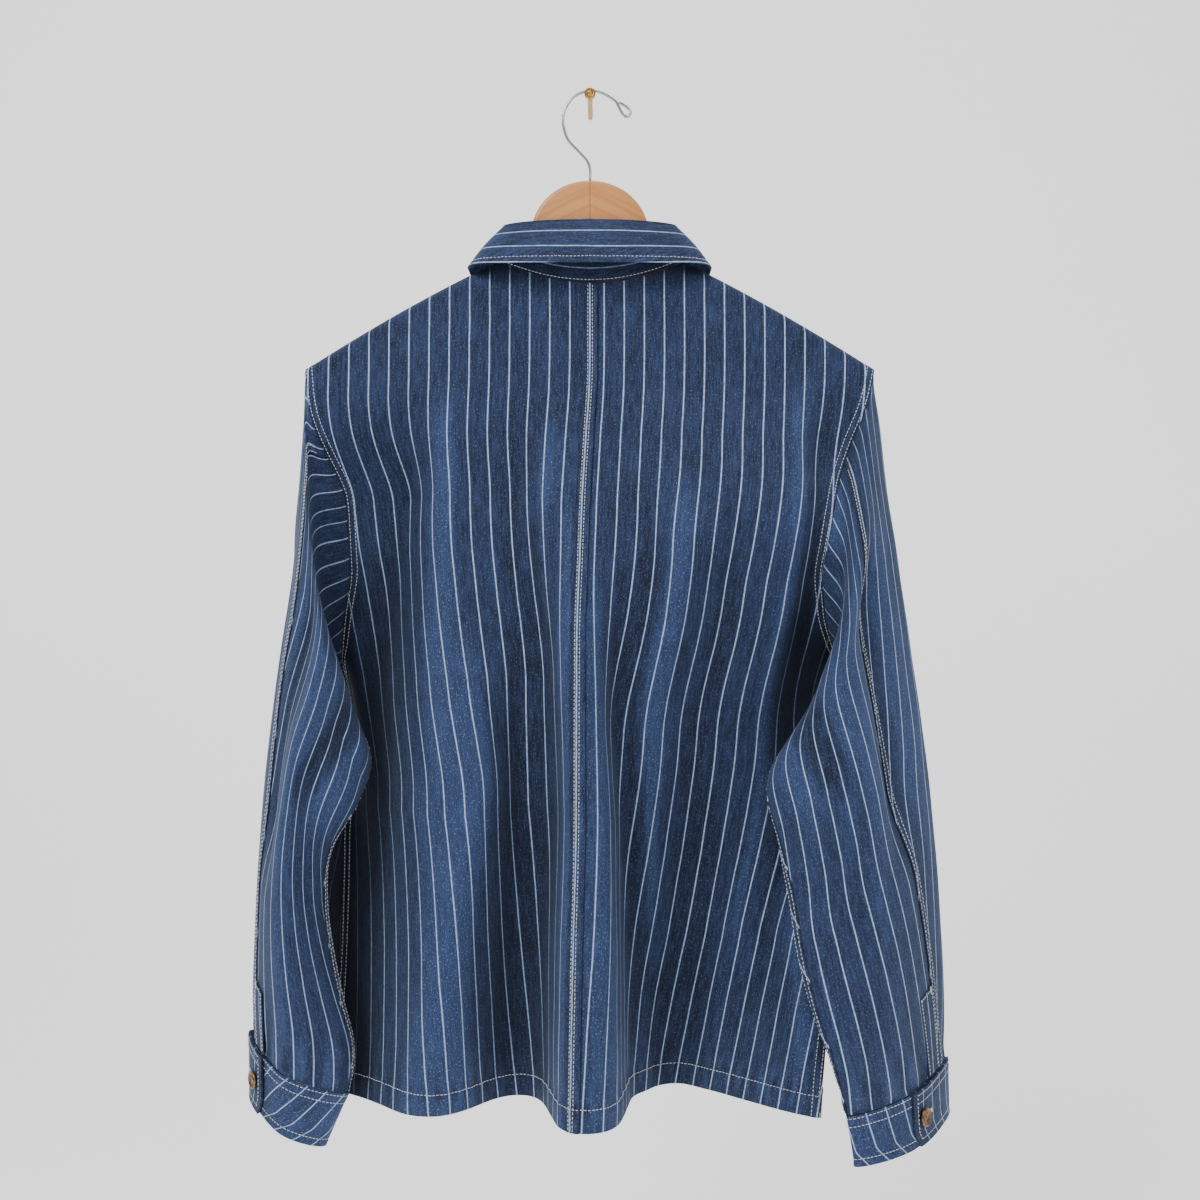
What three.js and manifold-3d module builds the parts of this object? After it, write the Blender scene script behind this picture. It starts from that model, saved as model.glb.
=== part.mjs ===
// Pinstripe denim chore jacket, hung by a wire hook from a brass nail.
// Millimetres, +Z up, the jacket's back facing -Y and the wall behind it at +Y.
// The origin is the point where the hook's crown rests on the nail.
import * as THREE from 'three';
import { mergeVertices } from 'three/addons/utils/BufferGeometryUtils.js';
import Module from 'manifold-3d';

// Main sizes
const CLOTH = 1.6;
const CUFF_CLOTH = 2.2;
const SEAM_GAP = 0.3;
const LAYER_GAP = 0.4;
const EDGE_EASE = 3;
const HALF_SHOULDER = 239;
const NECK_HALF = 81;
const NECK_BACK_Z = -163;
const NECK_SIDE_Z = -143;
const NECK_FRONT_Z = -232;
const NECK_POWER = 3.5;
const TIP_Z = -233;
const UNDERARM_Z = -485;
const HEM_Z = -836;
const FRONT_OVERLAP = 15;
const HANGER_THICK = 12;
const WIRE_RADIUS = 1.2;
const NAIL_RADIUS = 2.2;
const NAIL_HEAD_RADIUS = 4.8;
const WALL_Y = 56;
const CUFF_BUTTON_RADIUS = 7.3;
const FRONT_BUTTON_RADIUS = 8.5;
const CUFF_COLUMNS = 30;

// Heights of the rows of each body panel, measured at the armhole and side seam
const BODY_ROWS = [
  -233, -235.5, -241.5, -256, -285, -315, -350, -385, -420, -455, -485,
  -530, -575, -620, -665, -710, -755, -797, -836,
];

// Half widths of the cut back panels
const BACK_WIDTH = [
  { z: -233, left: 239, right: 239 },
  { z: -262, left: 236, right: 235 },
  { z: -300, left: 230, right: 226 },
  { z: -350, left: 226, right: 216 },
  { z: -400, left: 230, right: 214 },
  { z: -440, left: 242, right: 224 },
  { z: -470, left: 253, right: 242 },
  { z: -485, left: 262, right: 256 },
  { z: -530, left: 270, right: 268 },
  { z: -600, left: 281, right: 282 },
  { z: -836, left: 297, right: 298 },
];

// Line of the centre-back seam
const CENTRE_BACK = [
  { z: -143, x: 0, y: -13 },
  { z: -233, x: 0, y: -17 },
  { z: -290, x: -3, y: -30 },
  { z: -345, x: -6, y: -48 },
  { z: -400, x: -8, y: -66 },
  { z: -460, x: -10, y: -78 },
  { z: -510, x: -10, y: -85 },
  { z: -600, x: -10, y: -95 },
  { z: -700, x: -12, y: -107 },
  { z: -836, x: -14, y: -121 },
];

// Folds of the back. Each turns the cloth in plan over a band of its width, starts at one
// height, is full at another, and drifts across between its top, its middle and the hem.
const FOLD_MIDDLE_Z = -600;
const BACK_FOLDS = [
  {
    name: 'pipe left', from: -270, full: -500,
    u: [-27, -27, -45], half: [15, 25, 47], turn: [-69, -77],
  },
  {
    name: 'pipe right', from: -330, full: -540,
    u: [14, 47, 81], half: [11, 27, 56], turn: [78, 81],
  },
  {
    name: 'left lobe', from: -400, full: -590,
    u: [-84, -100, -152], half: [20, 28, 50], turn: [58, 50],
  },
  {
    name: 'left outer', from: -235, full: -345,
    u: [-124, -209, -225], half: [13, 58, 59], turn: [-50, -45],
  },
  {
    name: 'left side', from: -400, full: -520,
    u: [-262, -284, -300], half: [30, 32, 26], turn: [-74, -58],
  },
  {
    name: 'left flank', from: -535, full: -630,
    u: [-262, -284, -300], half: [30, 32, 26], turn: [42, 34],
  },
  {
    name: 'left soft', from: -235, full: -345,
    u: [-46, -64, -96], half: [20, 13, 14], turn: [-34, 0],
  },
  {
    name: 'right plane', from: -500, full: -700,
    u: [200, 232, 225], half: [60, 81, 84], turn: [-48, -41],
  },
  {
    name: 'right side', from: -420, full: -520,
    u: [239, 276, 354], half: [49, 43, 42], turn: [32, 150],
  },
  {
    name: 'right crease', from: -225, full: -330,
    u: [185, 208, 206], half: [14, 13, 20], turn: [46, 0],
  },
  {
    name: 'right inner', from: -290, full: -380,
    u: [62, 88, 120], half: [17, 12, 14], turn: [-36, -14],
  },
  {
    name: 'right middle', from: -330, full: -420,
    u: [110, 108, 146], half: [18, 38, 20], turn: [30, 40],
  },
];

// Front halves in plan: armhole edge, depth of the flat face, corner at the side, fold depth
const FRONT_SHAPE = [
  { z: -233, armX: 239, armY: 0, face: 12, left: 239, right: 239, fold: 0 },
  { z: -262, armX: 230, armY: 14, face: 16, left: 230, right: 230, fold: 0 },
  { z: -300, armX: 218, armY: 24, face: 24, left: 218, right: 218, fold: 1 },
  { z: -360, armX: 208, armY: 35, face: 35, left: 208, right: 208, fold: 2 },
  { z: -420, armX: 206, armY: 42, face: 42, left: 206, right: 208, fold: 3 },
  { z: -485, armX: 206, armY: 44, face: 45, left: 240, right: 220, fold: 4 },
  { z: -600, armX: 206, armY: 44, face: 46, left: 268, right: 206, fold: 6 },
  { z: -700, armX: 206, armY: 44, face: 45, left: 290, right: 204, fold: 8 },
  { z: -836, armX: 206, armY: 44, face: 40, left: 264, right: 204, fold: 10 },
];

// Sleeve rings: outer, inner, near and far points of each tilted ring, armhole to cuff seam
const SLEEVE_RINGS = {
  left: [
    {
      zo: -262, xo: -243, yo: 0, zi: -494.7, xi: -224.6, yi: 10.6,
      xn: -231.5, yn: -15.1, xf: -231.3, yf: 50.1,
    },
    {
      zo: -330, xo: -246, yo: -8, zi: -553, xi: -181, yi: -38,
      xn: -214, yn: -72, xf: -252.4, yf: 41,
    },
    {
      zo: -400, xo: -249, yo: -18, zi: -590, xi: -186, yi: -62,
      xn: -217, yn: -94, xf: -250, yf: 32,
    },
    {
      zo: -470, xo: -257, yo: -26, zi: -630, xi: -208, yi: -68,
      xn: -230, yn: -106, xf: -254, yf: 22,
    },
    {
      zo: -540, xo: -264, yo: -32, zi: -672, xi: -211, yi: -64,
      xn: -238, yn: -108, xf: -258, yf: 16,
    },
    {
      zo: -610, xo: -270, yo: -36, zi: -712, xi: -206, yi: -62,
      xn: -243, yn: -106, xf: -260, yf: 10,
    },
    {
      zo: -680, xo: -274, yo: -40, zi: -750, xi: -199, yi: -62,
      xn: -243, yn: -102, xf: -258, yf: 4,
    },
    {
      zo: -740, xo: -276, yo: -42, zi: -788, xi: -190, yi: -64,
      xn: -241, yn: -96, xf: -252, yf: -6,
    },
    {
      zo: -781, xo: -275, yo: -44, zi: -824, xi: -194, yi: -64,
      xn: -240, yn: -90, xf: -246, yf: -14,
    },
  ],
  right: [
    {
      zo: -262, xo: 243, yo: 0, zi: -502, xi: 216, yi: -20,
      xn: 208, yn: -56, xf: 243, yf: 42,
    },
    {
      zo: -330, xo: 249, yo: -10, zi: -543, xi: 164, yi: -50,
      xn: 207, yn: -88, xf: 251, yf: 22,
    },
    {
      zo: -400, xo: 258, yo: -18, zi: -575, xi: 142, yi: -76,
      xn: 202, yn: -94, xf: 244, yf: 4,
    },
    {
      zo: -470, xo: 267, yo: -24, zi: -620, xi: 150, yi: -88,
      xn: 210, yn: -104, xf: 242, yf: -8,
    },
    {
      zo: -540, xo: 276, yo: -30, zi: -660, xi: 156, yi: -98,
      xn: 218, yn: -108, xf: 242, yf: -20,
    },
    {
      zo: -610, xo: 283, yo: -34, zi: -700, xi: 161, yi: -110,
      xn: 224, yn: -112, xf: 242, yf: -34,
    },
    {
      zo: -680, xo: 288, yo: -38, zi: -738, xi: 170, yi: -124,
      xn: 232, yn: -116, xf: 244, yf: -48,
    },
    {
      zo: -745, xo: 291, yo: -42, zi: -785, xi: 186, yi: -130,
      xn: 240, yn: -114, xf: 250, yf: -58,
    },
    {
      zo: -803, xo: 291, yo: -44, zi: -822, xi: 197, yi: -122,
      xn: 246, yn: -108, xf: 252, yf: -58,
    },
  ],
};
const CUFF_SPAN = { left: { start: 0.43, end: -0.65 }, right: { start: 0.36, end: -0.73 } };
const CUFF_RING = {
  left: {
    zo: -833, xo: -275, yo: -44, zi: -866, xi: -212, yi: -66,
    xn: -243, yn: -88, xf: -247, yf: -18,
  },
  right: {
    zo: -848, xo: 292, yo: -44, zi: -862, xi: 203, yi: -120,
    xn: 249, yn: -108, xf: 254, yf: -58,
  },
};

// Seams round the sleeve, as parts of the ring from the underarm past the back
const SLEEVE_SEAMS = [
  { t: 0, elbowLeft: 0.335, elbowRight: 0.33, underarm: -0.03 },
  { t: 0.15, elbowLeft: 0.38, elbowRight: 0.32, underarm: -0.015 },
  { t: 0.3, elbowLeft: 0.4, elbowRight: 0.33, underarm: 0 },
  { t: 0.6, elbowLeft: 0.39, elbowRight: 0.35, underarm: 0.05 },
  { t: 1, elbowLeft: 0.4, elbowRight: 0.4, underarm: 0.02 },
];

// Creases pressed into the sleeves, from one place on the ring to another
const SLEEVE_CREASES = {
  left: [
    { name: 'elbow', t: [0.18, 0.72], s: [0.31, 0.35], half: 0.045, depth: 12 },
    { name: 'armpit', t: [0.16, 0.5], s: [0.1, 0.2], half: 0.04, depth: 7 },
  ],
  right: [
    { name: 'elbow', t: [0.18, 0.7], s: [0.34, 0.36], half: 0.045, depth: 12 },
    { name: 'armpit', t: [0.16, 0.5], s: [0.1, 0.2], half: 0.04, depth: 8 },
  ],
};

// Collar rings in plan and height: back, side and front values of each
const COLLAR = {
  seam: { side: 81, front: 0, backY: -13, frontY: 12, backZ: -163, sideZ: -143, frontZ: -232 },
  fold: { side: 72, front: 0, backY: -13, frontY: 11, backZ: -110, sideZ: -113, frontZ: -200 },
  edge: { side: 101, front: 60, backY: -32, frontY: 27, backZ: -150, sideZ: -149, frontZ: -288 },
};

// Half outline of the hanger: the dome, the neck, the arm's top, its tip and its underside
const HANGER_DOME = { centreZ: -119.5, halfWidth: 50, height: 46 };
const HANGER_OUTLINE = [
  { x: 53, z: -131 },
  { x: 60, z: -143 },
  { x: 72, z: -154 },
  { x: 90, z: -159.5 },
  { x: 125, z: -171.5 },
  { x: 165, z: -192.5 },
  { x: 200, z: -213 },
  { x: 212, z: -221 },
  { x: 217, z: -229 },
  { x: 213, z: -237 },
  { x: 203, z: -240 },
  { x: 190, z: -236 },
  { x: 150, z: -214 },
  { x: 110, z: -194 },
  { x: 70, z: -178 },
  { x: 30, z: -168 },
];

// Centre line of the hook's wire, from the hanger up over the nail to the eye at its end
const HOOK_LINE = [
  { x: 0, y: 0, z: -73.2 },
  { x: 0, y: 0, z: -63 },
  { x: -2.6, y: 0, z: -55.7 },
  { x: -10.7, y: 0, z: -46.8 },
  { x: -18.7, y: 0, z: -37.8 },
  { x: -22.4, y: 0, z: -27 },
  { x: -22.8, y: 0, z: -19 },
  { x: -20.2, y: 0, z: -10 },
  { x: -14, y: 0, z: -1.6 },
  { x: -5, y: 0, z: 3 },
  { x: 1, y: 0, z: 3.7 },
  { x: 7.5, y: 0, z: 3 },
  { x: 16.2, y: 0, z: -1.1 },
  { x: 22.4, y: 0, z: -6 },
  { x: 25.9, y: 0, z: -12.8 },
  { x: 29.3, y: 0.4, z: -17.4 },
  { x: 33.2, y: 1.2, z: -17.2 },
  { x: 34.3, y: 2.2, z: -12.6 },
  { x: 30.4, y: 3, z: -8.3 },
  { x: 24.6, y: 3.2, z: -4.7 },
];

// Patch pockets on the hidden front: the panel's columns and rows that each one covers
const POCKETS = [
  { name: 'pocket_hip_left', panel: 'left', columns: [4, 13], rows: [13, 17] },
  { name: 'pocket_hip_right', panel: 'right', columns: [4, 13], rows: [13, 17] },
  { name: 'pocket_chest_left', panel: 'left', columns: [5, 12], rows: [6, 9] },
];
const FRONT_BUTTON_Z = [-262, -368, -474, -580, -686];

// Colours
const DENIM = 0x2b3a66;
const HONEY_WOOD = 0xc08a54;
const STEEL = 0xb9bcc0;
const BRASS = 0xb08a4a;
const OLD_BRASS = 0x8a7355;

const group = new THREE.Group();
const wasm = await Module();
wasm.setup();

function addPiece(name, geometry, colour, roughness, metalness) {
  const material = new THREE.MeshStandardMaterial({ color: colour, roughness, metalness });
  const mesh = new THREE.Mesh(geometry, material);
  mesh.name = name;
  group.add(mesh);
  return mesh;
}

function clamp01(t) {
  return Math.min(Math.max(t, 0), 1);
}

function smooth(t) {
  const c = clamp01(t);
  return c * c * (3 - 2 * c);
}

function mix(a, b, t) {
  return a + (b - a) * t;
}

// Value of one column of a table, by a monotone cubic through its rows
function column(table, key, at, axis = 'z') {
  const s = table[0][axis] > table[table.length - 1][axis] ? -1 : 1;
  const last = table.length - 1;
  if (s * at <= s * table[0][axis]) return table[0][key];
  if (s * at >= s * table[last][axis]) return table[last][key];
  let i = 0;
  while (s * table[i + 1][axis] < s * at) i += 1;
  const slope = (a, b) => (table[b][key] - table[a][key]) / (table[b][axis] - table[a][axis]);
  const tangent = (a, b) => (a * b <= 0 ? 0 : (2 * a * b) / (a + b));
  const here = slope(i, i + 1);
  const m0 = i > 0 ? tangent(slope(i - 1, i), here) : here;
  const m1 = i < last - 1 ? tangent(here, slope(i + 1, i + 2)) : here;
  const h = table[i + 1][axis] - table[i][axis];
  const t = (at - table[i][axis]) / h;
  const t2 = t * t;
  const t3 = t2 * t;
  return (2 * t3 - 3 * t2 + 1) * table[i][key] + (t3 - 2 * t2 + t) * h * m0
    + (3 * t2 - 2 * t3) * table[i + 1][key] + (t3 - t2) * h * m1;
}

// Point on a smooth curve through four neighbouring points
function curvePoint(before, a, b, after, t) {
  const t2 = t * t;
  const t3 = t2 * t;
  const w = [-t3 + 2 * t2 - t, 3 * t3 - 5 * t2 + 2, -3 * t3 + 4 * t2 + t, t3 - t2];
  return new THREE.Vector3()
    .addScaledVector(before, w[0] / 2)
    .addScaledVector(a, w[1] / 2)
    .addScaledVector(b, w[2] / 2)
    .addScaledVector(after, w[3] / 2);
}

// Unit normal of a grid of points, turned towards the hollow the cloth goes round
function gridNormals(grid, hollow) {
  const rows = grid.length;
  const cols = grid[0].length;
  let facing = 0;
  const normals = grid.map((row, j) => row.map((p, i) => {
    const across = row[Math.min(i + 1, cols - 1)].clone().sub(row[Math.max(i - 1, 0)]);
    const down = grid[Math.min(j + 1, rows - 1)][i].clone().sub(grid[Math.max(j - 1, 0)][i]);
    const n = across.cross(down).normalize();
    facing += n.dot(new THREE.Vector3().subVectors(hollow, p).normalize());
    return n;
  }));
  if (facing < 0) normals.forEach((row) => row.forEach((n) => n.negate()));
  return { normals, turned: facing < 0 };
}

// Closed sheet of cloth: the grid is its outer face, the inner face lies one wall inside it
// and stops a little short of the edges, so that seams turn corners
function clothSheet(grid, wall, hollow) {
  const rows = grid.length;
  const cols = grid[0].length;
  const { normals, turned } = gridNormals(grid, hollow);
  const positions = [];
  grid.forEach((row) => row.forEach((p) => positions.push(p.x, p.y, p.z)));
  const ease = (q, p, next) => {
    const reach = p.distanceTo(next);
    q.addScaledVector(next.clone().sub(p), Math.min(EDGE_EASE, 0.4 * reach) / reach);
  };
  grid.forEach((row, j) => row.forEach((p, i) => {
    const q = p.clone().addScaledVector(normals[j][i], wall);
    if (i === 0) ease(q, p, row[1]);
    if (i === cols - 1) ease(q, p, row[cols - 2]);
    if (j === 0) ease(q, p, grid[1][i]);
    if (j === rows - 1) ease(q, p, grid[rows - 2][i]);
    positions.push(q.x, q.y, q.z);
  }));
  const half = rows * cols;
  const at = (j, i) => j * cols + i;
  const index = [];
  const quad = (a, b, c, d) => {
    if (turned) index.push(a, b, c, a, c, d);
    else index.push(a, c, b, a, d, c);
  };
  for (let j = 0; j < rows - 1; j += 1) {
    for (let i = 0; i < cols - 1; i += 1) {
      quad(at(j, i), at(j, i + 1), at(j + 1, i + 1), at(j + 1, i));
      quad(half + at(j, i), half + at(j + 1, i), half + at(j + 1, i + 1), half + at(j, i + 1));
    }
  }
  for (let i = 0; i < cols - 1; i += 1) {
    const end = rows - 1;
    quad(at(0, i + 1), at(0, i), half + at(0, i), half + at(0, i + 1));
    quad(at(end, i), at(end, i + 1), half + at(end, i + 1), half + at(end, i));
  }
  for (let j = 0; j < rows - 1; j += 1) {
    const end = cols - 1;
    quad(at(j, 0), at(j + 1, 0), half + at(j + 1, 0), half + at(j, 0));
    quad(at(j + 1, end), at(j, end), half + at(j, end), half + at(j + 1, end));
  }
  const geometry = new THREE.BufferGeometry();
  geometry.setAttribute('position', new THREE.Float32BufferAttribute(positions, 3));
  geometry.setIndex(index);
  geometry.computeVertexNormals();
  return geometry;
}

function solidOf(geometry) {
  const plain = geometry.clone();
  plain.deleteAttribute('normal');
  const merged = mergeVertices(plain, 1e-3);
  return new wasm.Manifold(new wasm.Mesh({
    numProp: 3,
    vertProperties: new Float32Array(merged.attributes.position.array),
    triVerts: new Uint32Array(merged.index.array),
  }));
}

// The piece without the corners that its neighbour fills at their seam
function lessNeighbour(geometry, neighbour) {
  const parts = solidOf(geometry).subtract(solidOf(neighbour)).decompose();
  parts.sort((a, b) => b.volume() - a.volume());
  const mesh = parts[0].getMesh();
  const cut = new THREE.BufferGeometry();
  cut.setAttribute('position', new THREE.Float32BufferAttribute(mesh.vertProperties, 3));
  cut.setIndex([...mesh.triVerts]);
  cut.computeVertexNormals();
  return cut;
}

// Angle of the back's cloth in plan at a distance u from the centre-back seam
function backTurn(u, z) {
  let turn = 0;
  BACK_FOLDS.forEach((fold) => {
    const strength = smooth((fold.from - z) / (fold.from - fold.full));
    const low = z < FOLD_MIDDLE_Z ? 1 : 0;
    const t = low
      ? (FOLD_MIDDLE_Z - z) / (FOLD_MIDDLE_Z - HEM_Z)
      : clamp01((fold.from - z) / (fold.from - FOLD_MIDDLE_Z));
    const centre = mix(fold.u[low], fold.u[low + 1], t);
    const half = mix(fold.half[low], fold.half[low + 1], t);
    const angle = mix(fold.turn[0], fold.turn[1], clamp01((fold.full - z) / (fold.full - HEM_Z)));
    turn += strength * angle * Math.exp(-(((u - centre) / half) ** 4));
  });
  return THREE.MathUtils.degToRad(turn);
}

// Plan positions along the back at one height, at even steps from the centre-back seam
const ROW_STEP = 2;
const backRows = new Map();

function backRow(side, z) {
  const key = `${side} ${z.toFixed(3)}`;
  if (!backRows.has(key)) {
    const row = [{ x: column(CENTRE_BACK, 'x', z), y: column(CENTRE_BACK, 'y', z) }];
    for (let i = 0; i < 156; i += 1) {
      const turn = backTurn(side * (i + 0.5) * ROW_STEP, z);
      row.push({
        x: row[i].x + side * Math.cos(turn) * ROW_STEP,
        y: row[i].y + side * Math.sin(turn) * ROW_STEP,
      });
    }
    backRows.set(key, row);
  }
  return backRows.get(key);
}

// Height of the shoulder line at a distance from the middle
function shoulderZ(u) {
  const t = (Math.abs(u) - NECK_HALF) / (HALF_SHOULDER - NECK_HALF);
  return mix(NECK_SIDE_Z, TIP_Z, 0.86 * t + 0.14 * t * t);
}

function topZ(u, neckZ) {
  const a = Math.abs(u);
  if (a >= NECK_HALF) return shoulderZ(a);
  return mix(neckZ, NECK_SIDE_Z, (a / NECK_HALF) ** 2);
}

// Share of its depth that a panel keeps near the neck seam and over the hanger's arm
function rollShare(u, below) {
  const a = Math.abs(u);
  const atTop = a < NECK_HALF ? (1 - (a / NECK_HALF) ** NECK_POWER) ** (1 / NECK_POWER) : 0;
  const reach = mix(40, 8.5, smooth((a - 50) / 60));
  const d = clamp01(below / reach);
  return mix(1, atTop, 1 - Math.sqrt(1 - (1 - d) ** 2));
}

function backPoint(side, u, z) {
  const row = backRow(side, z);
  const f = u / ROW_STEP;
  const i = Math.min(Math.floor(f), row.length - 2);
  const y = mix(row[i].y, row[i + 1].y, f - i) * rollShare(u, topZ(u, NECK_BACK_Z) - z);
  return new THREE.Vector3(mix(row[i].x, row[i + 1].x, f - i), y, z);
}

function backWidth(side, z) {
  return column(BACK_WIDTH, side < 0 ? 'left' : 'right', z);
}

function rowPart(z) {
  return (z - TIP_Z) / (HEM_Z - TIP_Z);
}

function backGrid(side, columns) {
  return BODY_ROWS.map((rowZ) => {
    const row = [];
    for (let i = 0; i <= columns; i += 1) {
      const c = i / columns;
      const z = mix(topZ(c * HALF_SHOULDER, NECK_BACK_Z), HEM_Z, rowPart(rowZ));
      row.push(backPoint(side, mix(SEAM_GAP / 2, backWidth(side, z) - SEAM_GAP / 2, c), z));
    }
    return row;
  });
}

// Outer edge of the front: the armhole above the underarm, the side seam below it
function frontEdge(side, z) {
  const seamZ = Math.min(z, UNDERARM_Z);
  const seam = backPoint(side, backWidth(side, seamZ) + SEAM_GAP / 2, seamZ);
  if (z <= UNDERARM_Z) return seam;
  const armX = side * column(FRONT_SHAPE, 'armX', z);
  const armY = column(FRONT_SHAPE, 'armY', z);
  const t = smooth((-440 - z) / (-440 - UNDERARM_Z));
  return new THREE.Vector3(mix(armX, seam.x, t), mix(armY, seam.y, t), z);
}

// Point on the front at a part c of the way from its centre edge to its outer edge
function frontPoint(side, c, z) {
  const edge = frontEdge(side, z);
  const corner = column(FRONT_SHAPE, side < 0 ? 'left' : 'right', z);
  const face = column(FRONT_SHAPE, 'face', z);
  const faceEnd = 0.6;
  const flatX = corner * faceEnd;
  const lap = side < 0 ? CLOTH + LAYER_GAP : 0;
  if (c <= faceEnd) {
    const q = c / faceEnd;
    const x = mix(-FRONT_OVERLAP, flatX, q);
    const ripple = Math.sin(Math.PI * 2 * clamp01((x - 22) / (flatX - 22))) ** 2;
    const fold = column(FRONT_SHAPE, 'fold', z) * ripple;
    return new THREE.Vector3(side * x, face - fold + lap * smooth((50 - x) / 35), z);
  }
  const q = (c - faceEnd) / (1 - faceEnd);
  const ends = [
    new THREE.Vector3(side * flatX, face, z),
    new THREE.Vector3(side * mix(flatX, corner, 0.6), face, z),
    new THREE.Vector3(mix(edge.x, side * corner, 0.7), mix(edge.y, face, 0.7), z),
    edge,
  ];
  return new THREE.CubicBezierCurve3(...ends).getPoint(q);
}

function frontGrid(side, columns) {
  return BODY_ROWS.map((rowZ) => {
    const row = [];
    for (let i = 0; i <= columns; i += 1) {
      const c = i / columns;
      const top = topZ(frontPoint(side, c, TIP_Z).x, NECK_FRONT_Z);
      const z = mix(top, HEM_Z, rowPart(rowZ));
      const p = frontPoint(side, c, z);
      p.y *= rollShare(p.x, top - z);
      p.y += SEAM_GAP * clamp01(1 - (top - z) / 4);
      row.push(p);
    }
    return row;
  });
}

// Armhole loop from the underarm up the back to the shoulder tip and down the front
function armholeLoop(key) {
  const ends = BODY_ROWS.indexOf(UNDERARM_Z);
  const outer = (grid) => grid.slice(0, ends + 1).map((row) => row[row.length - 1]);
  const points = [...outer(backGrids[key]).reverse(), ...outer(frontGrids[key])];
  points.push(points[0]);
  const along = [0];
  for (let i = 1; i < points.length; i += 1) {
    along.push(along[i - 1] + points[i].distanceTo(points[i - 1]));
  }
  return (s) => {
    const w = s - Math.floor(s);
    const target = w < 0.5
      ? (w / 0.5) * along[ends]
      : along[ends] + ((w - 0.5) / 0.5) * (along[along.length - 1] - along[ends]);
    let i = 0;
    while (i < points.length - 2 && along[i + 1] < target) i += 1;
    return points[i].clone().lerp(points[i + 1], (target - along[i]) / (along[i + 1] - along[i]));
  };
}

// Closed ring through its inner, near, outer and far points
function ringPoint(ring, s) {
  const middle = (ring.zo + ring.zi) / 2;
  const corners = [
    new THREE.Vector3(ring.xi, ring.yi, ring.zi),
    new THREE.Vector3(ring.xn, ring.yn, middle),
    new THREE.Vector3(ring.xo, ring.yo, ring.zo),
    new THREE.Vector3(ring.xf, ring.yf, middle),
  ];
  const w = (s - Math.floor(s)) * 4;
  const i = Math.floor(w);
  const corner = (k) => corners[(i + k) % 4];
  return curvePoint(corner(3), corner(0), corner(1), corner(2), w - i);
}

function ringCentre(ring) {
  return new THREE.Vector3((ring.xo + ring.xi) / 2, (ring.yn + ring.yf) / 2, (ring.zo + ring.zi) / 2);
}

// Point on a sleeve: s goes round from the underarm past the back, t down to the cuff seam
function sleeveSurface(key) {
  const loop = armholeLoop(key);
  const rings = SLEEVE_RINGS[key];
  return (s, t) => {
    const line = [loop(s), ...rings.map((ring) => ringPoint(ring, s))];
    line[0].lerp(line[1], 0.8 / line[0].distanceTo(line[1]));
    const f = t * rings.length;
    const i = Math.min(Math.floor(f), rings.length - 1);
    const before = i > 0 ? line[i - 1] : line[0].clone().multiplyScalar(2).sub(line[1]);
    const after = i < rings.length - 1 ? line[i + 2] : line[i + 1].clone().multiplyScalar(2).sub(line[i]);
    const p = curvePoint(before, line[i], line[i + 1], after, f - i);
    const centre = ringCentre(rings[Math.max(i - 1, 0)]).lerp(ringCentre(rings[i]), f - i);
    const inwards = centre.sub(p);
    inwards.z = 0;
    inwards.normalize();
    const around = s - Math.floor(s);
    SLEEVE_CREASES[key].forEach((crease) => {
      const along = (t - crease.t[0]) / (crease.t[1] - crease.t[0]);
      const middle = mix(crease.s[0], crease.s[1], clamp01(along));
      const reach = smooth(along * 4) * smooth((1 - along) * 4);
      const depth = crease.depth * reach * Math.exp(-(((around - middle) / crease.half) ** 2));
      p.addScaledVector(inwards, depth);
    });
    return p;
  };
}

// Rows of a sleeve, as parts of its length
const SLEEVE_ROWS = [
  0, 0.02, 0.06, 0.11, 0.17, 0.24, 0.31, 0.38, 0.45, 0.52, 0.59, 0.66, 0.73, 0.8, 0.87, 0.94, 1,
];

function sleeveGrid(surface, startKey, endKey, wrap, columns) {
  const trim = 0.0009;
  return SLEEVE_ROWS.map((t) => {
    const start = column(SLEEVE_SEAMS, startKey, t, 't') + trim;
    const end = column(SLEEVE_SEAMS, endKey, t, 't') + wrap - trim;
    const row = [];
    for (let i = 0; i <= columns; i += 1) row.push(surface(mix(start, end, i / columns), t));
    return row;
  });
}

// Cuff band: starts under the tab, goes round the inside of the arm and ends on top
function cuffGrid(key) {
  const rings = SLEEVE_RINGS[key];
  const top = rings[rings.length - 1];
  const bottom = CUFF_RING[key];
  const { start, end } = CUFF_SPAN[key];
  const columns = CUFF_COLUMNS;
  return [0, 0.33, 0.67, 1].map((v) => {
    const row = [];
    for (let i = 0; i <= columns; i += 1) {
      const s = mix(start, end, i / columns);
      const p = ringPoint(top, s).lerp(ringPoint(bottom, s), v);
      const centre = ringCentre(top).lerp(ringCentre(bottom), v);
      const outwards = p.clone().sub(centre);
      outwards.z = 0;
      outwards.normalize();
      p.addScaledVector(outwards, 0.6 + (CUFF_CLOTH + 2 * LAYER_GAP) * smooth((-0.3 - s) / 0.2));
      p.z -= 3 * SEAM_GAP * (1 - v);
      row.push(p);
    }
    const mitre = v > 0.6 ? (v - 0.6) * 10 : 0;
    row[columns].lerp(row[columns - 1], mitre / row[columns].distanceTo(row[columns - 1]));
    return row;
  });
}

// Ring of the collar: a runs from the front edge past the back (0) to the other front edge
function collarPoint(ring, a) {
  const c = Math.cos(a * Math.PI);
  const across = Math.abs(Math.sin(a * Math.PI)) ** (2 / NECK_POWER);
  const deep = Math.abs(c) ** (2 / NECK_POWER);
  const front = c < 0;
  const x = mix(front ? ring.front : 0, ring.side, across) * Math.sign(a);
  const z = mix(front ? ring.frontZ : ring.backZ, ring.sideZ, across ** 2);
  return new THREE.Vector3(x, deep * (front ? ring.frontY : ring.backY), z);
}

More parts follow.
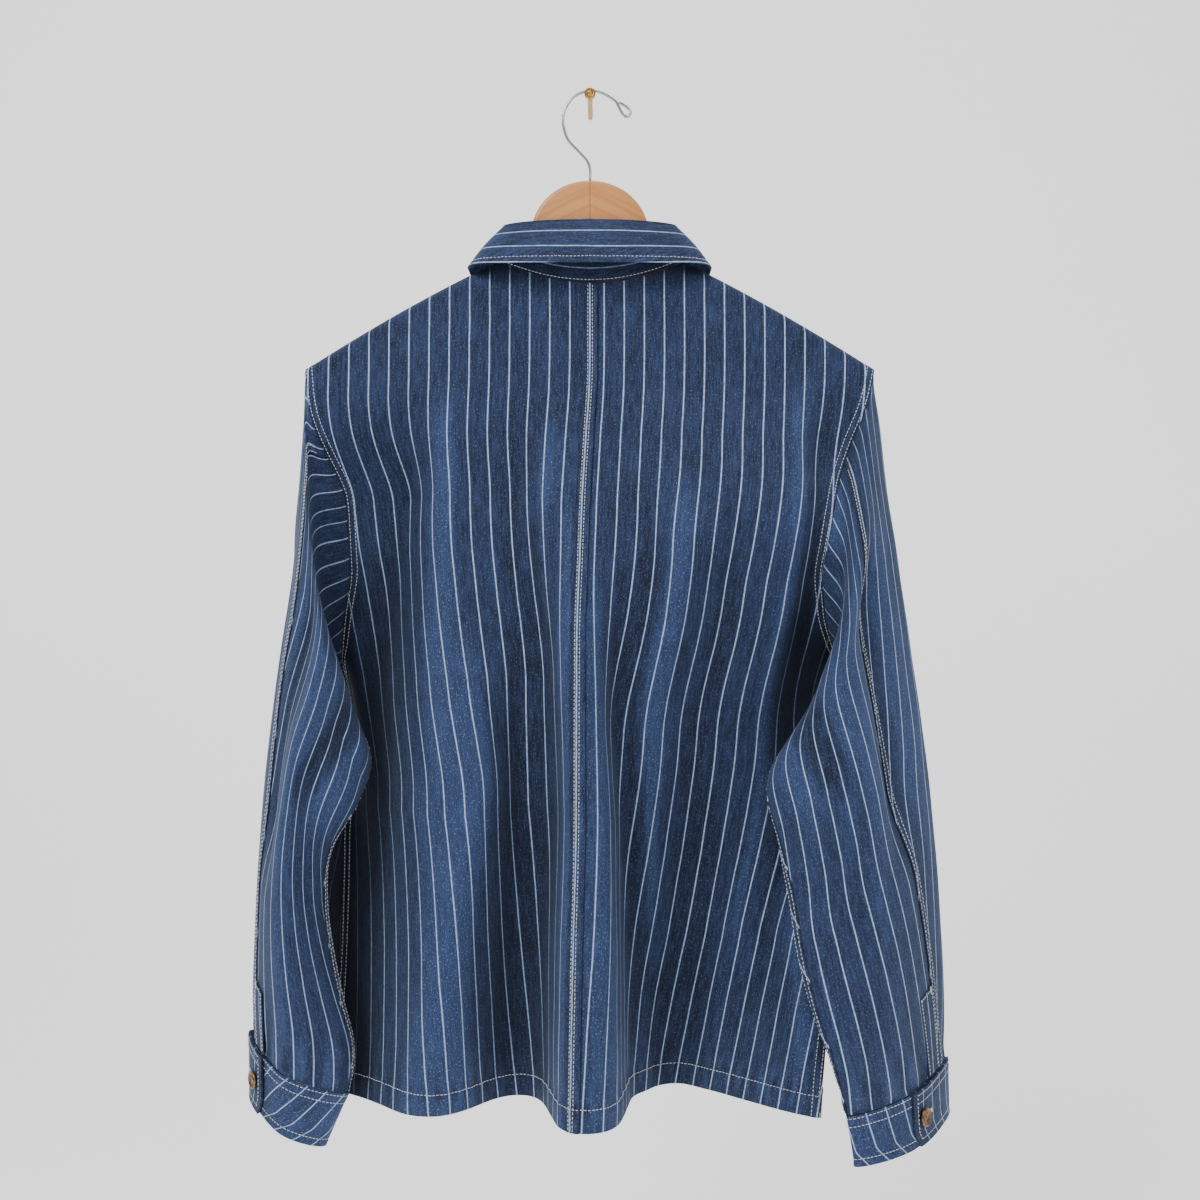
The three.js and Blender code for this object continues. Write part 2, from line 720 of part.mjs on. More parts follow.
function collarGrid(from, to, rows, columns, limit, shift) {
  const grid = [];
  for (let j = 0; j <= rows; j += 1) {
    const row = [];
    for (let i = 0; i <= columns; i += 1) {
      const a = mix(-limit, limit, i / columns);
      const p = collarPoint(from, a).lerp(collarPoint(to, a), j / rows);
      row.push(p.add(shift(a, j / rows)));
    }
    grid.push(row);
  }
  return grid;
}

// Level direction out of the collar at a
function outOfNeck(a) {
  const here = collarPoint(COLLAR.fold, a - 0.01);
  const next = collarPoint(COLLAR.fold, a + 0.01);
  return new THREE.Vector3(next.y - here.y, here.x - next.x, 0).normalize();
}

// Points of a panel moved out along its normals
function movedOut(grid, distance, hollow) {
  const { normals } = gridNormals(grid, hollow);
  return grid.map((row, j) => row.map((p, i) => p.clone().addScaledVector(normals[j][i], -distance)));
}

// Tack button with a dished face, its axis along +Y and its back at y = 0
function buttonGeometry(radius) {
  const profile = [
    [0, 0], [radius * 0.55, 0], [radius * 0.6, 1.2], [radius, 1.5],
    [radius, 2.6], [radius * 0.86, 3.4], [radius * 0.7, 2.8], [0, 3],
  ];
  const geometry = new THREE.LatheGeometry(profile.map(([r, y]) => new THREE.Vector2(r, y)), 12);
  geometry.deleteAttribute('uv');
  geometry.deleteAttribute('normal');
  return mergeVertices(geometry, 1e-4);
}

function placeButton(name, radius, point, outwards) {
  const mesh = addPiece(name, buttonGeometry(radius), OLD_BRASS, 0.45, 1);
  mesh.quaternion.setFromUnitVectors(new THREE.Vector3(0, 1, 0), outwards.clone().normalize());
  mesh.position.copy(point).addScaledVector(outwards.clone().normalize(), 2 * LAYER_GAP);
}

// Body panels
const TO_WALL = new THREE.Vector3(0, 4000, -500);
const TO_ROOM = new THREE.Vector3(0, -4000, -500);
const backGrids = {};
const frontGrids = {};
[['left', -1], ['right', 1]].forEach(([key, side]) => {
  backGrids[key] = backGrid(side, 26);
  addPiece(`back_${key}`, clothSheet(backGrids[key], CLOTH, TO_WALL), DENIM, 0.9, 0);
  frontGrids[key] = frontGrid(side, 18);
  addPiece(`front_${key}`, clothSheet(frontGrids[key], CLOTH, TO_ROOM), DENIM, 0.9, 0);
});

// Sleeves, cuffs and placket strips
['left', 'right'].forEach((key) => {
  const surface = sleeveSurface(key);
  const rings = SLEEVE_RINGS[key];
  const middle = rings[4];
  const hollow = ringCentre(middle);
  const elbow = key === 'left' ? 'elbowLeft' : 'elbowRight';
  const top = sleeveGrid(surface, elbow, 'underarm', 1, 18);
  const under = sleeveGrid(surface, 'underarm', elbow, 0, 12);
  const underSheet = clothSheet(under, CLOTH, hollow);
  addPiece(`sleeve_top_${key}`, lessNeighbour(clothSheet(top, CLOTH, hollow), underSheet), DENIM, 0.9, 0);
  addPiece(`sleeve_under_${key}`, underSheet, DENIM, 0.9, 0);
  const cuff = cuffGrid(key);
  addPiece(`cuff_${key}`, clothSheet(cuff, CUFF_CLOTH, ringCentre(CUFF_RING[key])), DENIM, 0.9, 0);
  const strip = [0.86, 0.91, 0.96, 0.995].map((t) => {
    const row = [];
    const seam = column(SLEEVE_SEAMS, elbow, t, 't');
    for (let i = 0; i <= 3; i += 1) row.push(surface(seam - 0.004 - 0.05 * (i / 3), t));
    return row;
  });
  const stripOut = movedOut(strip, CLOTH + LAYER_GAP, hollow);
  addPiece(`placket_${key}`, clothSheet(stripOut, CLOTH, hollow), DENIM, 0.9, 0);
  const buttonAt = cuff[1][CUFF_COLUMNS - 1].clone().lerp(cuff[2][CUFF_COLUMNS - 1], 0.5);
  const outwards = gridNormals(cuff, ringCentre(CUFF_RING[key])).normals[1][CUFF_COLUMNS - 1].negate();
  placeButton(`button_cuff_${key}`, CUFF_BUTTON_RADIUS, buttonAt, outwards);
});

// Collar
const collarHollow = new THREE.Vector3(0, 0, -140);
const standGrid = collarGrid(COLLAR.seam, COLLAR.fold, 2, 26, 0.99, (a, v) => {
  return new THREE.Vector3(0, 0, v === 0 ? 4 * SEAM_GAP : 0);
});
addPiece('collar_stand', clothSheet(standGrid, CLOTH, collarHollow), DENIM, 0.9, 0);
const fallGrid = collarGrid(COLLAR.fold, COLLAR.edge, 4, 26, 0.985, (a, v) => {
  return outOfNeck(a).multiplyScalar(CLOTH + 0.3 * LAYER_GAP + 2.5 * Math.sin(Math.PI * v));
});
addPiece('collar_fall', clothSheet(fallGrid, CLOTH, collarHollow), DENIM, 0.9, 0);

// Pockets and front buttons
POCKETS.forEach((pocket) => {
  const panel = movedOut(frontGrids[pocket.panel], CLOTH + LAYER_GAP, TO_ROOM);
  const [i0, i1] = pocket.columns;
  const grid = panel.slice(pocket.rows[0], pocket.rows[1] + 1).map((row) => row.slice(i0, i1 + 1));
  addPiece(pocket.name, clothSheet(grid, CLOTH, TO_ROOM), DENIM, 0.9, 0);
});
FRONT_BUTTON_Z.forEach((z, k) => {
  const line = frontGrids.left.map((row) => row[1]);
  const j = line.findIndex((p) => p.z < z) - 1;
  const point = line[j].clone().lerp(line[j + 1], (line[j].z - z) / (line[j].z - line[j + 1].z));
  const down = line[j + 1].clone().sub(line[j]).normalize();
  placeButton(`button_front_${k + 1}`, FRONT_BUTTON_RADIUS, point, new THREE.Vector3(0, -down.z, down.y));
});

// Hanger
const outline = [];
for (let i = 0; i <= 8; i += 1) {
  const turn = (Math.PI / 2) * (1 - i / 8);
  const x = HANGER_DOME.halfWidth * Math.cos(turn);
  outline.push([x, HANGER_DOME.centreZ + HANGER_DOME.height * Math.sin(turn)]);
}
HANGER_OUTLINE.forEach((p) => outline.push([p.x, p.z]));
const mirrored = outline.slice(1).reverse().map(([x, z]) => [-x, z]);
const bevel = 2.2;
const around = [...outline, ...mirrored].reverse();
const hangerShape = new THREE.Shape(around.map(([x, z]) => new THREE.Vector2(x, z)));
const hangerGeometry = new THREE.ExtrudeGeometry(hangerShape, {
  depth: HANGER_THICK - 2 * bevel, bevelEnabled: true, bevelThickness: bevel, bevelSize: bevel,
  bevelOffset: -bevel, bevelSegments: 2, curveSegments: 1,
});
hangerGeometry.translate(0, 0, -(HANGER_THICK - 2 * bevel) / 2);
hangerGeometry.rotateX(Math.PI / 2);
addPiece('hanger_wood', hangerGeometry, HONEY_WOOD, 0.45, 0);

// Hook
const wireShape = new THREE.Shape();
wireShape.absarc(0, 0, WIRE_RADIUS, 0, Math.PI * 2, false);
const hookCurve = new THREE.CatmullRomCurve3(HOOK_LINE.map((p) => new THREE.Vector3(p.x, p.y, p.z)));
const hookGeometry = new THREE.ExtrudeGeometry(wireShape, {
  steps: 52, curveSegments: 4, bevelEnabled: false, extrudePath: hookCurve,
});
addPiece('hook_wire', hookGeometry, STEEL, 0.25, 1);

// Nail: a ringed round head and a shank back to the wall
const nailProfile = [
  [0, -7.4], [1.6, -7], [2.6, -6], [3, -6.3], [3.6, -6.3], [4.1, -5.4],
  [NAIL_HEAD_RADIUS, -5], [NAIL_HEAD_RADIUS, -3], [4.2, -2.2], [NAIL_RADIUS, -1.9],
  [NAIL_RADIUS, WALL_Y], [0, WALL_Y],
];
const nailGeometry = new THREE.LatheGeometry(nailProfile.map(([r, y]) => new THREE.Vector2(r, y)), 16);
addPiece('wall_nail', nailGeometry, BRASS, 0.3, 1);

export default group;
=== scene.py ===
"""Pinstripe denim chore jacket on a wooden hanger, hung by its hook from a brass nail."""

import functools
import math

import bpy
import numpy as np
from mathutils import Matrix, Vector


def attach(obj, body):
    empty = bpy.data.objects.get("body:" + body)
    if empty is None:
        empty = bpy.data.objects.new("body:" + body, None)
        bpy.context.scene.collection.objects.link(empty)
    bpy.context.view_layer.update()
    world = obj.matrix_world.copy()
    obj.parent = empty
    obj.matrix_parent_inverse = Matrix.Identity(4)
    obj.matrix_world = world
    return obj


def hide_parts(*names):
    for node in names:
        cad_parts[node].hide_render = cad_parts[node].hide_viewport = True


bl_info = {
    "name": "Hanging chore jacket",
    "version": (1, 0, 0),
    "blender": (4, 5, 0),
    "location": "View3D > Sidebar > Jacket",
    "description": "Builds a pinstripe denim chore jacket on its wall hanger",
    "category": "Add Mesh",
}

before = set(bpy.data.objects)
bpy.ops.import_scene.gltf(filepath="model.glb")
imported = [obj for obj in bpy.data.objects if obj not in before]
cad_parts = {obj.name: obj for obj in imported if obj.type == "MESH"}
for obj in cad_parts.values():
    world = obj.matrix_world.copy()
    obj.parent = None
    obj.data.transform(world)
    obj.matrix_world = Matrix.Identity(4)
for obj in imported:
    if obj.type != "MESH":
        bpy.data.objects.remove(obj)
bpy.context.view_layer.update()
MM = 0.001

# Main sizes, in millimetres as in the part
SEAM_GAP = 0.3
HALF_SHOULDER = 239
NECK_HALF = 81
NECK_BACK_Z = -163
NECK_SIDE_Z = -143
NECK_FRONT_Z = -232
NECK_POWER = 3.5
TIP_Z = -233
UNDERARM_Z = -485
HEM_Z = -836
FRONT_OVERLAP = 15
LAP = 2.0
FELL = 6.6
ROW_NEAR = 1.7
ROW_FAR = 6.8
CB_ROW_LEFT = 1.8
CB_ROW_RIGHT = 2.1
CB_STEP = 12
HEM_TURN = 19
HEM_ROW = 17.5
TAB_MITRE = 7
COLLAR_ROLL = 1.1
COLLAR_ROW = 6
COLLAR_STRIPE_TOP = 12
STRIPES_FROM = 0.3
# Reach of the ambient occlusion that paints shade into the denim between the sleeves and the body
PAINTED_SHADE_REACH = 0.09
BUTTON_IN = 13
BUTTONHOLE_IN = 22.5
BUTTONHOLE = 11
CUFF_BUTTON = 7.3
FRONT_BUTTON = 8.5
FRONT_BUTTON_Z = (-262, -368, -474, -580, -686)
DOME_Z = -119.5
DOME_HALF = 50
DOME_HEIGHT = 46
HANGER_THICK = 12
HANGER_EDGE = 3
ARM_SLOPE = 27
WIRE_RADIUS = 1.2
WALL_Y = 56
NAIL_PROFILE = (
    (0.4, -7.4), (1.6, -7), (2.6, -6), (3, -6.3), (3.6, -6.3), (4.1, -5.4), (4.8, -5),
    (4.8, -3), (4.2, -2.2), (2.2, -1.9), (2.2, 0), (2.2, WALL_Y),
)

# Fineness of the meshes
BODY_STEP = 3
BACK_COLUMNS = 100
FRONT_COLUMNS = 80
TOP_COLUMNS = 84
UNDER_COLUMNS = 52
SLEEVE_ROWS = 190
CUFF_COLUMNS = 100
CUFF_ROWS = 16
COLLAR_COLUMNS_FINE = 170

# Stage, in metres and watts
CAMERA_PLACE = (0.0085, -1.2, -0.429)
CAMERA_ANGLE = 2 * math.atan(510 / 1200)
SWEEP_FLOOR = -1.25
SWEEP_BACK = 1.6
SWEEP_BEND = 1.0
SWEEP_TOP = 4.0
SWEEP_FRONT = 5.0
SWEEP_HALF = 6.0
ROOM_LIGHT = 0.42
SWEEP_GLOW = 0.66
LAMPS = (
    ("key", (-1.1, -1.5, 1.3), 0.9, 46),
    ("fill", (1.6, -1.7, 0.5), 1.2, 16),
    ("top", (0.1, -0.5, 1.7), 0.9, 14),
)


def table(names, *rows):
    """Named columns of numbers."""
    return dict(zip(names.split(), np.array(rows, float).T))


BACK_WIDTH = table(
    "z left right",
    (-233, 239, 239),
    (-262, 236, 235),
    (-300, 230, 226),
    (-350, 226, 216),
    (-400, 230, 214),
    (-440, 242, 224),
    (-470, 253, 242),
    (-485, 262, 256),
    (-530, 270, 268),
    (-600, 281, 282),
    (-836, 297, 298),
)
CENTRE_BACK = table(
    "z x y",
    (-143, 0, -13),
    (-233, 0, -17),
    (-290, -3, -30),
    (-345, -6, -48),
    (-400, -8, -66),
    (-460, -10, -78),
    (-510, -10, -85),
    (-600, -10, -95),
    (-700, -12, -107),
    (-836, -14, -121),
)
# How far the right panel's stripes lie off those of the left one
STRIPE_DRIFT = table(
    "z shift",
    (-143, 0),
    (-400, 0),
    (-470, 3),
    (-600, 5),
    (-680, 4),
    (-760, 0),
    (-860, -4),
)
# Folds of the back: start and full heights, then place, half width and turn from top to hem
FOLD_MIDDLE_Z = -600
FOLD_COLUMNS = "start full u0 u1 u2 half0 half1 half2 turn0 turn1"
BACK_FOLDS = {
    "pipe left": (-270, -500, -27, -27, -45, 15, 25, 47, -69, -77),
    "pipe right": (-330, -540, 14, 47, 81, 11, 27, 56, 78, 81),
    "left lobe": (-400, -590, -84, -100, -152, 20, 28, 50, 58, 50),
    "left outer": (-235, -345, -124, -209, -225, 13, 58, 59, -50, -45),
    "left side": (-400, -520, -262, -284, -300, 30, 32, 26, -74, -58),
    "left flank": (-535, -630, -262, -284, -300, 30, 32, 26, 42, 34),
    "left soft": (-235, -345, -46, -64, -96, 20, 13, 14, -34, 0),
    "right plane": (-500, -700, 200, 232, 225, 60, 81, 84, -48, -41),
    "right side": (-420, -520, 239, 276, 354, 49, 43, 42, 32, 150),
    "right crease": (-225, -330, 185, 208, 206, 14, 13, 20, 46, 0),
    "right inner": (-290, -380, 62, 88, 120, 17, 12, 14, -36, -14),
    "right middle": (-330, -420, 110, 108, 146, 18, 38, 20, 30, 40),
}
FRONT_SHAPE = table(
    "z armX armY face left right fold",
    (-233, 239, 0, 12, 239, 239, 0),
    (-262, 230, 14, 16, 230, 230, 0),
    (-300, 218, 24, 24, 218, 218, 1),
    (-360, 208, 35, 35, 208, 208, 2),
    (-420, 206, 42, 42, 206, 208, 3),
    (-485, 206, 44, 45, 240, 220, 4),
    (-600, 206, 44, 46, 268, 206, 6),
    (-700, 206, 44, 45, 290, 204, 8),
    (-836, 206, 44, 40, 264, 204, 10),
)
RING_COLUMNS = "zo xo yo zi xi yi xn yn xf yf"
SLEEVE_RINGS = {
    "left": table(
        RING_COLUMNS,
        (-262, -243, 0, -494.7, -224.6, 10.6, -231.5, -15.1, -231.3, 50.1),
        (-330, -246, -8, -553, -181, -38, -214, -72, -252.4, 41),
        (-400, -249, -18, -590, -186, -62, -217, -94, -250, 32),
        (-470, -257, -26, -630, -208, -68, -230, -106, -254, 22),
        (-540, -264, -32, -672, -211, -64, -238, -108, -258, 16),
        (-610, -270, -36, -712, -206, -62, -243, -106, -260, 10),
        (-680, -274, -40, -750, -199, -62, -243, -102, -258, 4),
        (-740, -276, -42, -788, -190, -64, -241, -96, -252, -6),
        (-781, -275, -44, -824, -194, -64, -240, -90, -246, -14),
        (-833, -275, -44, -866, -212, -66, -243, -88, -247, -18),
    ),
    "right": table(
        RING_COLUMNS,
        (-262, 243, 0, -502, 216, -20, 208, -56, 243, 42),
        (-330, 249, -10, -543, 164, -50, 207, -88, 251, 22),
        (-400, 258, -18, -575, 142, -76, 202, -94, 244, 4),
        (-470, 267, -24, -620, 150, -88, 210, -104, 242, -8),
        (-540, 276, -30, -660, 156, -98, 218, -108, 242, -20),
        (-610, 283, -34, -700, 161, -110, 224, -112, 242, -34),
        (-680, 288, -38, -738, 170, -124, 232, -116, 244, -48),
        (-745, 291, -42, -785, 186, -130, 240, -114, 250, -58),
        (-803, 291, -44, -822, 197, -122, 246, -108, 252, -58),
        (-848, 292, -44, -862, 203, -120, 249, -108, 254, -58),
    ),
}
CUFF_SPAN = {"left": (0.43, -0.65), "right": (0.36, -0.73)}
SLEEVE_SEAMS = table(
    "t elbow_left elbow_right underarm",
    (0, 0.335, 0.33, -0.03),
    (0.15, 0.38, 0.32, -0.015),
    (0.3, 0.4, 0.33, 0),
    (0.6, 0.39, 0.35, 0.05),
    (1, 0.4, 0.4, 0.02),
)
# Creases of the sleeves: start and end along the arm, place round it at each, half width, depth
SLEEVE_CREASES = {
    "left": {
        "elbow": (0.18, 0.72, 0.31, 0.35, 0.045, 12),
        "armpit": (0.16, 0.5, 0.1, 0.2, 0.04, 7),
    },
    "right": {
        "elbow": (0.18, 0.7, 0.34, 0.36, 0.045, 12),
        "armpit": (0.16, 0.5, 0.1, 0.2, 0.04, 8),
    },
}
# Collar rings in plan and height: back, side and front values of each
COLLAR_COLUMNS = "side front backY frontY backZ sideZ frontZ"
COLLAR = {
    "seam": (81, 0, -13, 12, -163, -143, -232),
    "fold": (72, 0, -13, 11, -110, -113, -200),
    "edge": (101, 60, -32, 27, -150, -149, -288),
}
COLLAR = {key: dict(zip(COLLAR_COLUMNS.split(), row)) for key, row in COLLAR.items()}
HANGER_OUTLINE = table(
    "x z",
    (53, -131),
    (60, -143),
    (72, -154),
    (90, -159.5),
    (125, -171.5),
    (165, -192.5),
    (200, -213),
    (212, -221),
    (217, -229),
    (213, -237),
    (203, -240),
    (190, -236),
    (150, -214),
    (110, -194),
    (70, -178),
    (30, -168),
)
HOOK_LINE = table(
    "x y z",
    (0, 0, -73.2),
    (0, 0, -63),
    (-2.6, 0, -55.7),
    (-10.7, 0, -46.8),
    (-18.7, 0, -37.8),
    (-22.4, 0, -27),
    (-22.8, 0, -19),
    (-20.2, 0, -10),
    (-14, 0, -1.6),
    (-5, 0, 3),
    (1, 0, 3.7),
    (7.5, 0, 3),
    (16.2, 0, -1.1),
    (22.4, 0, -6),
    (25.9, 0, -12.8),
    (29.3, 0.4, -17.4),
    (33.2, 1.2, -17.2),
    (34.3, 2.2, -12.6),
    (30.4, 3, -8.3),
    (24.6, 3.2, -4.7),
)


def smooth(t):
    c = np.clip(t, 0, 1)
    return c * c * (3 - 2 * c)


def mix(a, b, t):
    return a + (b - a) * t


def column(rows, key, at, axis="z"):
    """Value of a table's column by a monotone cubic through its rows."""
    x, y, at = rows[axis], rows[key], np.asarray(at, float)
    if x[0] > x[-1]:
        x, at = -x, -at
    at = np.clip(at, x[0], x[-1])
    i = np.clip(np.searchsorted(x, at, side="left") - 1, 0, len(x) - 2)
    slope = np.diff(y) / np.diff(x)
    pair = slope[:-1] * slope[1:]
    inner = np.where(pair > 0, 2 * pair / np.where(pair > 0, slope[:-1] + slope[1:], 1), 0)
    tangent = np.concatenate([slope[:1], inner, slope[-1:]])
    h = x[i + 1] - x[i]
    t = (at - x[i]) / h
    t2, t3 = t * t, t * t * t
    return (
        (2 * t3 - 3 * t2 + 1) * y[i]
        + (t3 - 2 * t2 + t) * h * tangent[i]
        + (3 * t2 - 2 * t3) * y[i + 1]
        + (t3 - t2) * h * tangent[i + 1]
    )


def wave_noise(x, y, seed):
    """Smooth irregular relief between -1 and 1 from a few turned waves."""
    rng = np.random.default_rng(seed)
    total = np.zeros(np.broadcast(x, y).shape)
    for _ in range(7):
        turn, size, phase = rng.uniform(0, math.tau), rng.uniform(0.6, 1.7), rng.uniform(0, math.tau)
        total += np.sin((x * math.cos(turn) + y * math.sin(turn)) * size + phase)
    return total / 4


# Back panels


def back_turn(u, z):
    turn = np.zeros(np.broadcast(u, z).shape)
    low = z < FOLD_MIDDLE_Z
    for row in BACK_FOLDS.values():
        fold = dict(zip(FOLD_COLUMNS.split(), row))
        strength = smooth((fold["start"] - z) / (fold["start"] - fold["full"]))
        t_high = np.clip((fold["start"] - z) / (fold["start"] - FOLD_MIDDLE_Z), 0, 1)
        t_low = (FOLD_MIDDLE_Z - z) / (FOLD_MIDDLE_Z - HEM_Z)
        centre = np.where(
            low, mix(fold["u1"], fold["u2"], t_low), mix(fold["u0"], fold["u1"], t_high)
        )
        half = np.where(
            low, mix(fold["half1"], fold["half2"], t_low), mix(fold["half0"], fold["half1"], t_high)
        )
        t_angle = np.clip((fold["full"] - z) / (fold["full"] - HEM_Z), 0, 1)
        angle = mix(fold["turn0"], fold["turn1"], t_angle)
        turn += strength * angle * np.exp(-(((u - centre) / half) ** 4))
    return np.radians(turn)


ROW_STEP = 2
PLAN_Z = np.arange(-140, -841, -2.5)
PLAN_STEPS = 165


def plan_rows(side):
    """Plan positions along the back at each height, at even steps from the centre-back seam."""
    u = side * (np.arange(PLAN_STEPS) + 0.5) * ROW_STEP
    turn = back_turn(u[None, :], PLAN_Z[:, None])
    start = np.stack([column(CENTRE_BACK, "x", PLAN_Z), column(CENTRE_BACK, "y", PLAN_Z)], axis=-1)
    steps = np.stack([np.cos(turn), np.sin(turn)], axis=-1) * side * ROW_STEP
    steps = np.concatenate([np.zeros_like(steps[:, :1]), steps], axis=1)
    return start[:, None, :] + np.cumsum(steps, axis=1)


PLAN = {-1: plan_rows(-1), 1: plan_rows(1)}


def shoulder_z(u):
    t = (np.abs(u) - NECK_HALF) / (HALF_SHOULDER - NECK_HALF)
    return mix(NECK_SIDE_Z, TIP_Z, 0.86 * t + 0.14 * t * t)


def top_z(u, neck_z):
    a = np.abs(u)
    return np.where(a >= NECK_HALF, shoulder_z(a), mix(neck_z, NECK_SIDE_Z, (a / NECK_HALF) ** 2))


def roll_share(u, below):
    a = np.abs(u)
    inside = np.clip(1 - (a / NECK_HALF) ** NECK_POWER, 0, 1)
    at_top = np.where(a < NECK_HALF, inside ** (1 / NECK_POWER), 0)
    reach = mix(40, 8.5, smooth((a - 50) / 60))
    d = np.clip(below / reach, 0, 1)
    return mix(1, at_top, 1 - np.sqrt(1 - (1 - d) ** 2))


def back_point(side, u, z):
    """Point of the back at u from the centre-back seam; a negative u crosses to the other side."""
    u, z = np.broadcast_arrays(np.asarray(u, float), np.asarray(z, float))
    f = np.clip((PLAN_Z[0] - z) / (PLAN_Z[0] - PLAN_Z[1]), 0, len(PLAN_Z) - 1.001)
    j, f = f.astype(int), f - f.astype(int)
    across = np.where(u < 0, -side, side)
    g = np.clip(np.abs(u) / ROW_STEP, 0, PLAN_STEPS - 0.001)
    i, g = g.astype(int), g - g.astype(int)
    plan = np.zeros(u.shape + (2,))
    for s in (-1, 1):
        rows = PLAN[s]
        here = (
            rows[j, i] * ((1 - f) * (1 - g))[..., None]
            + rows[j + 1, i] * (f * (1 - g))[..., None]
            + rows[j, i + 1] * ((1 - f) * g)[..., None]
            + rows[j + 1, i + 1] * (f * g)[..., None]
        )
        plan = np.where((across == s)[..., None], here, plan)
    y = plan[..., 1] * roll_share(u, top_z(u, NECK_BACK_Z) - z)
    return np.stack([plan[..., 0], y, z], axis=-1)


def back_width(side, z):
    return column(BACK_WIDTH, "left" if side < 0 else "right", z)


def row_parts(step):
    """Rows of a body panel as parts of its height, closer together at the rolled top."""
    top = np.array([0, 0.4, 1, 1.8, 2.8, 4, 5.5, 7.2, 9.2, 11.5])
    arm = np.arange(14, TIP_Z - UNDERARM_Z - step / 2, step)
    below = np.linspace(TIP_Z - UNDERARM_Z, TIP_Z - HEM_Z, int((UNDERARM_Z - HEM_Z) / step))
    return np.concatenate([top, arm, below]) / (TIP_Z - HEM_Z)


def underarm_row(parts):
    return int(np.argmin(np.abs(parts - (TIP_Z - UNDERARM_Z) / (TIP_Z - HEM_Z))))


def lap_edge(z):
    """Free edge of the left panel's lap over the right one, from the centre-back line."""
    return 6.4 + 0.8 * smooth((-400 - z) / 250)


def back_grid(side, columns, parts):
    c = np.linspace(0, 1, columns + 1)[None, :]
    z = mix(top_z(c * HALF_SHOULDER, NECK_BACK_Z), HEM_Z, parts[:, None])
    start = -lap_edge(z) if side < 0 else SEAM_GAP / 2
    u = mix(start, back_width(side, z) - SEAM_GAP / 2, c)
    return back_point(side, u, z), side * u


# Front panels


def front_edge(side, z):
    below = np.minimum(z, UNDERARM_Z)
    seam = back_point(side, back_width(side, below) + SEAM_GAP / 2, below)
    at = np.maximum(z, UNDERARM_Z)
    t = smooth((-440 - z) / (-440 - UNDERARM_Z))
    x = mix(side * column(FRONT_SHAPE, "armX", at), seam[..., 0], t)
    y = mix(column(FRONT_SHAPE, "armY", at), seam[..., 1], t)
    return np.where(z <= UNDERARM_Z, seam[..., 0], x), np.where(z <= UNDERARM_Z, seam[..., 1], y)


def front_point(side, c, z):
    edge_x, edge_y = front_edge(side, z)
    corner = column(FRONT_SHAPE, "left" if side < 0 else "right", z)
    face = column(FRONT_SHAPE, "face", z)
    face_end = 0.6
    flat_x = corner * face_end
    lap = LAP if side < 0 else 0
    x_in = mix(-FRONT_OVERLAP, flat_x, c / face_end)
    ripple = np.sin(math.tau * np.clip((x_in - 22) / (flat_x - 22), 0, 1)) ** 2
    fold = column(FRONT_SHAPE, "fold", z) * ripple
    y_in = face - fold + lap * smooth((50 - x_in) / 35)
    q = np.clip((c - face_end) / (1 - face_end), 0, 1)
    w = [(1 - q) ** 3, 3 * q * (1 - q) ** 2, 3 * q * q * (1 - q), q**3]
    x_out = (
        w[0] * side * flat_x
        + w[1] * side * mix(flat_x, corner, 0.6)
        + w[2] * mix(edge_x, side * corner, 0.7)
        + w[3] * edge_x
    )
    y_out = (w[0] + w[1]) * face + w[2] * mix(edge_y, face, 0.7) + w[3] * edge_y
    inside = c <= face_end
    return np.where(inside, side * x_in, x_out), np.where(inside, y_in, y_out)


def front_grid(side, columns, parts):
    c = np.linspace(0, 1, columns + 1)[None, :]
    top_x, _ = front_point(side, c, np.full_like(c, TIP_Z))
    top = top_z(top_x, NECK_FRONT_Z)
    z = mix(top, HEM_Z, parts[:, None])
    x, y = front_point(side, np.broadcast_to(c, z.shape), z)
    below = top - z
    y = y * roll_share(x, below) + SEAM_GAP * np.clip(1 - below / 4, 0, 1)
    return np.stack([x, y, z], axis=-1)


# Sleeves


def along(points):
    """Length along rows of points."""
    steps = np.linalg.norm(np.diff(points, axis=0), axis=-1)
    return np.concatenate([np.zeros_like(steps[:1]), np.cumsum(steps, axis=0)])


def armhole_loop(back, front, last):
    """Armhole from the underarm up the back edge to the tip and down the front edge."""
    up, down = back[last::-1, -1], front[: last + 1, -1]
    lengths = [along(up), along(down)]

    def at(s):
        w = s - np.floor(s)
        up_at = np.stack([np.interp(w * 2 * lengths[0][-1], lengths[0], up[:, k]) for k in range(3)], -1)
        down_w = (w * 2 - 1) * lengths[1][-1]
        down_at = np.stack([np.interp(down_w, lengths[1], down[:, k]) for k in range(3)], -1)
        return np.where((w < 0.5)[..., None], up_at, down_at)

    return at


def curve_through(before, a, b, after, t):
    t2, t3 = t * t, t * t * t
    return (
        before * (-t3 + 2 * t2 - t)
        + a * (3 * t3 - 5 * t2 + 2)
        + b * (-3 * t3 + 4 * t2 + t)
        + after * (t3 - t2)
    ) / 2


def ring_point(rings, k, s):
    """Closed ring through its inner, near, outer and far points."""
    r = {key: values[k] for key, values in rings.items()}
    middle = (r["zo"] + r["zi"]) / 2
    corners = np.array([
        (r["xi"], r["yi"], r["zi"]),
        (r["xn"], r["yn"], middle),
        (r["xo"], r["yo"], r["zo"]),
        (r["xf"], r["yf"], middle),
    ])
    w = (s - np.floor(s)) * 4
    i = np.minimum(w.astype(int), 3)
    t = (w - i)[..., None]
    return curve_through(
        corners[(i + 3) % 4], corners[i], corners[(i + 1) % 4], corners[(i + 2) % 4], t
    )


def ring_centre(rings, k):
    return np.array([
        (rings["xo"][k] + rings["xi"][k]) / 2,
        (rings["yn"][k] + rings["yf"][k]) / 2,
        (rings["zo"][k] + rings["zi"][k]) / 2,
    ])


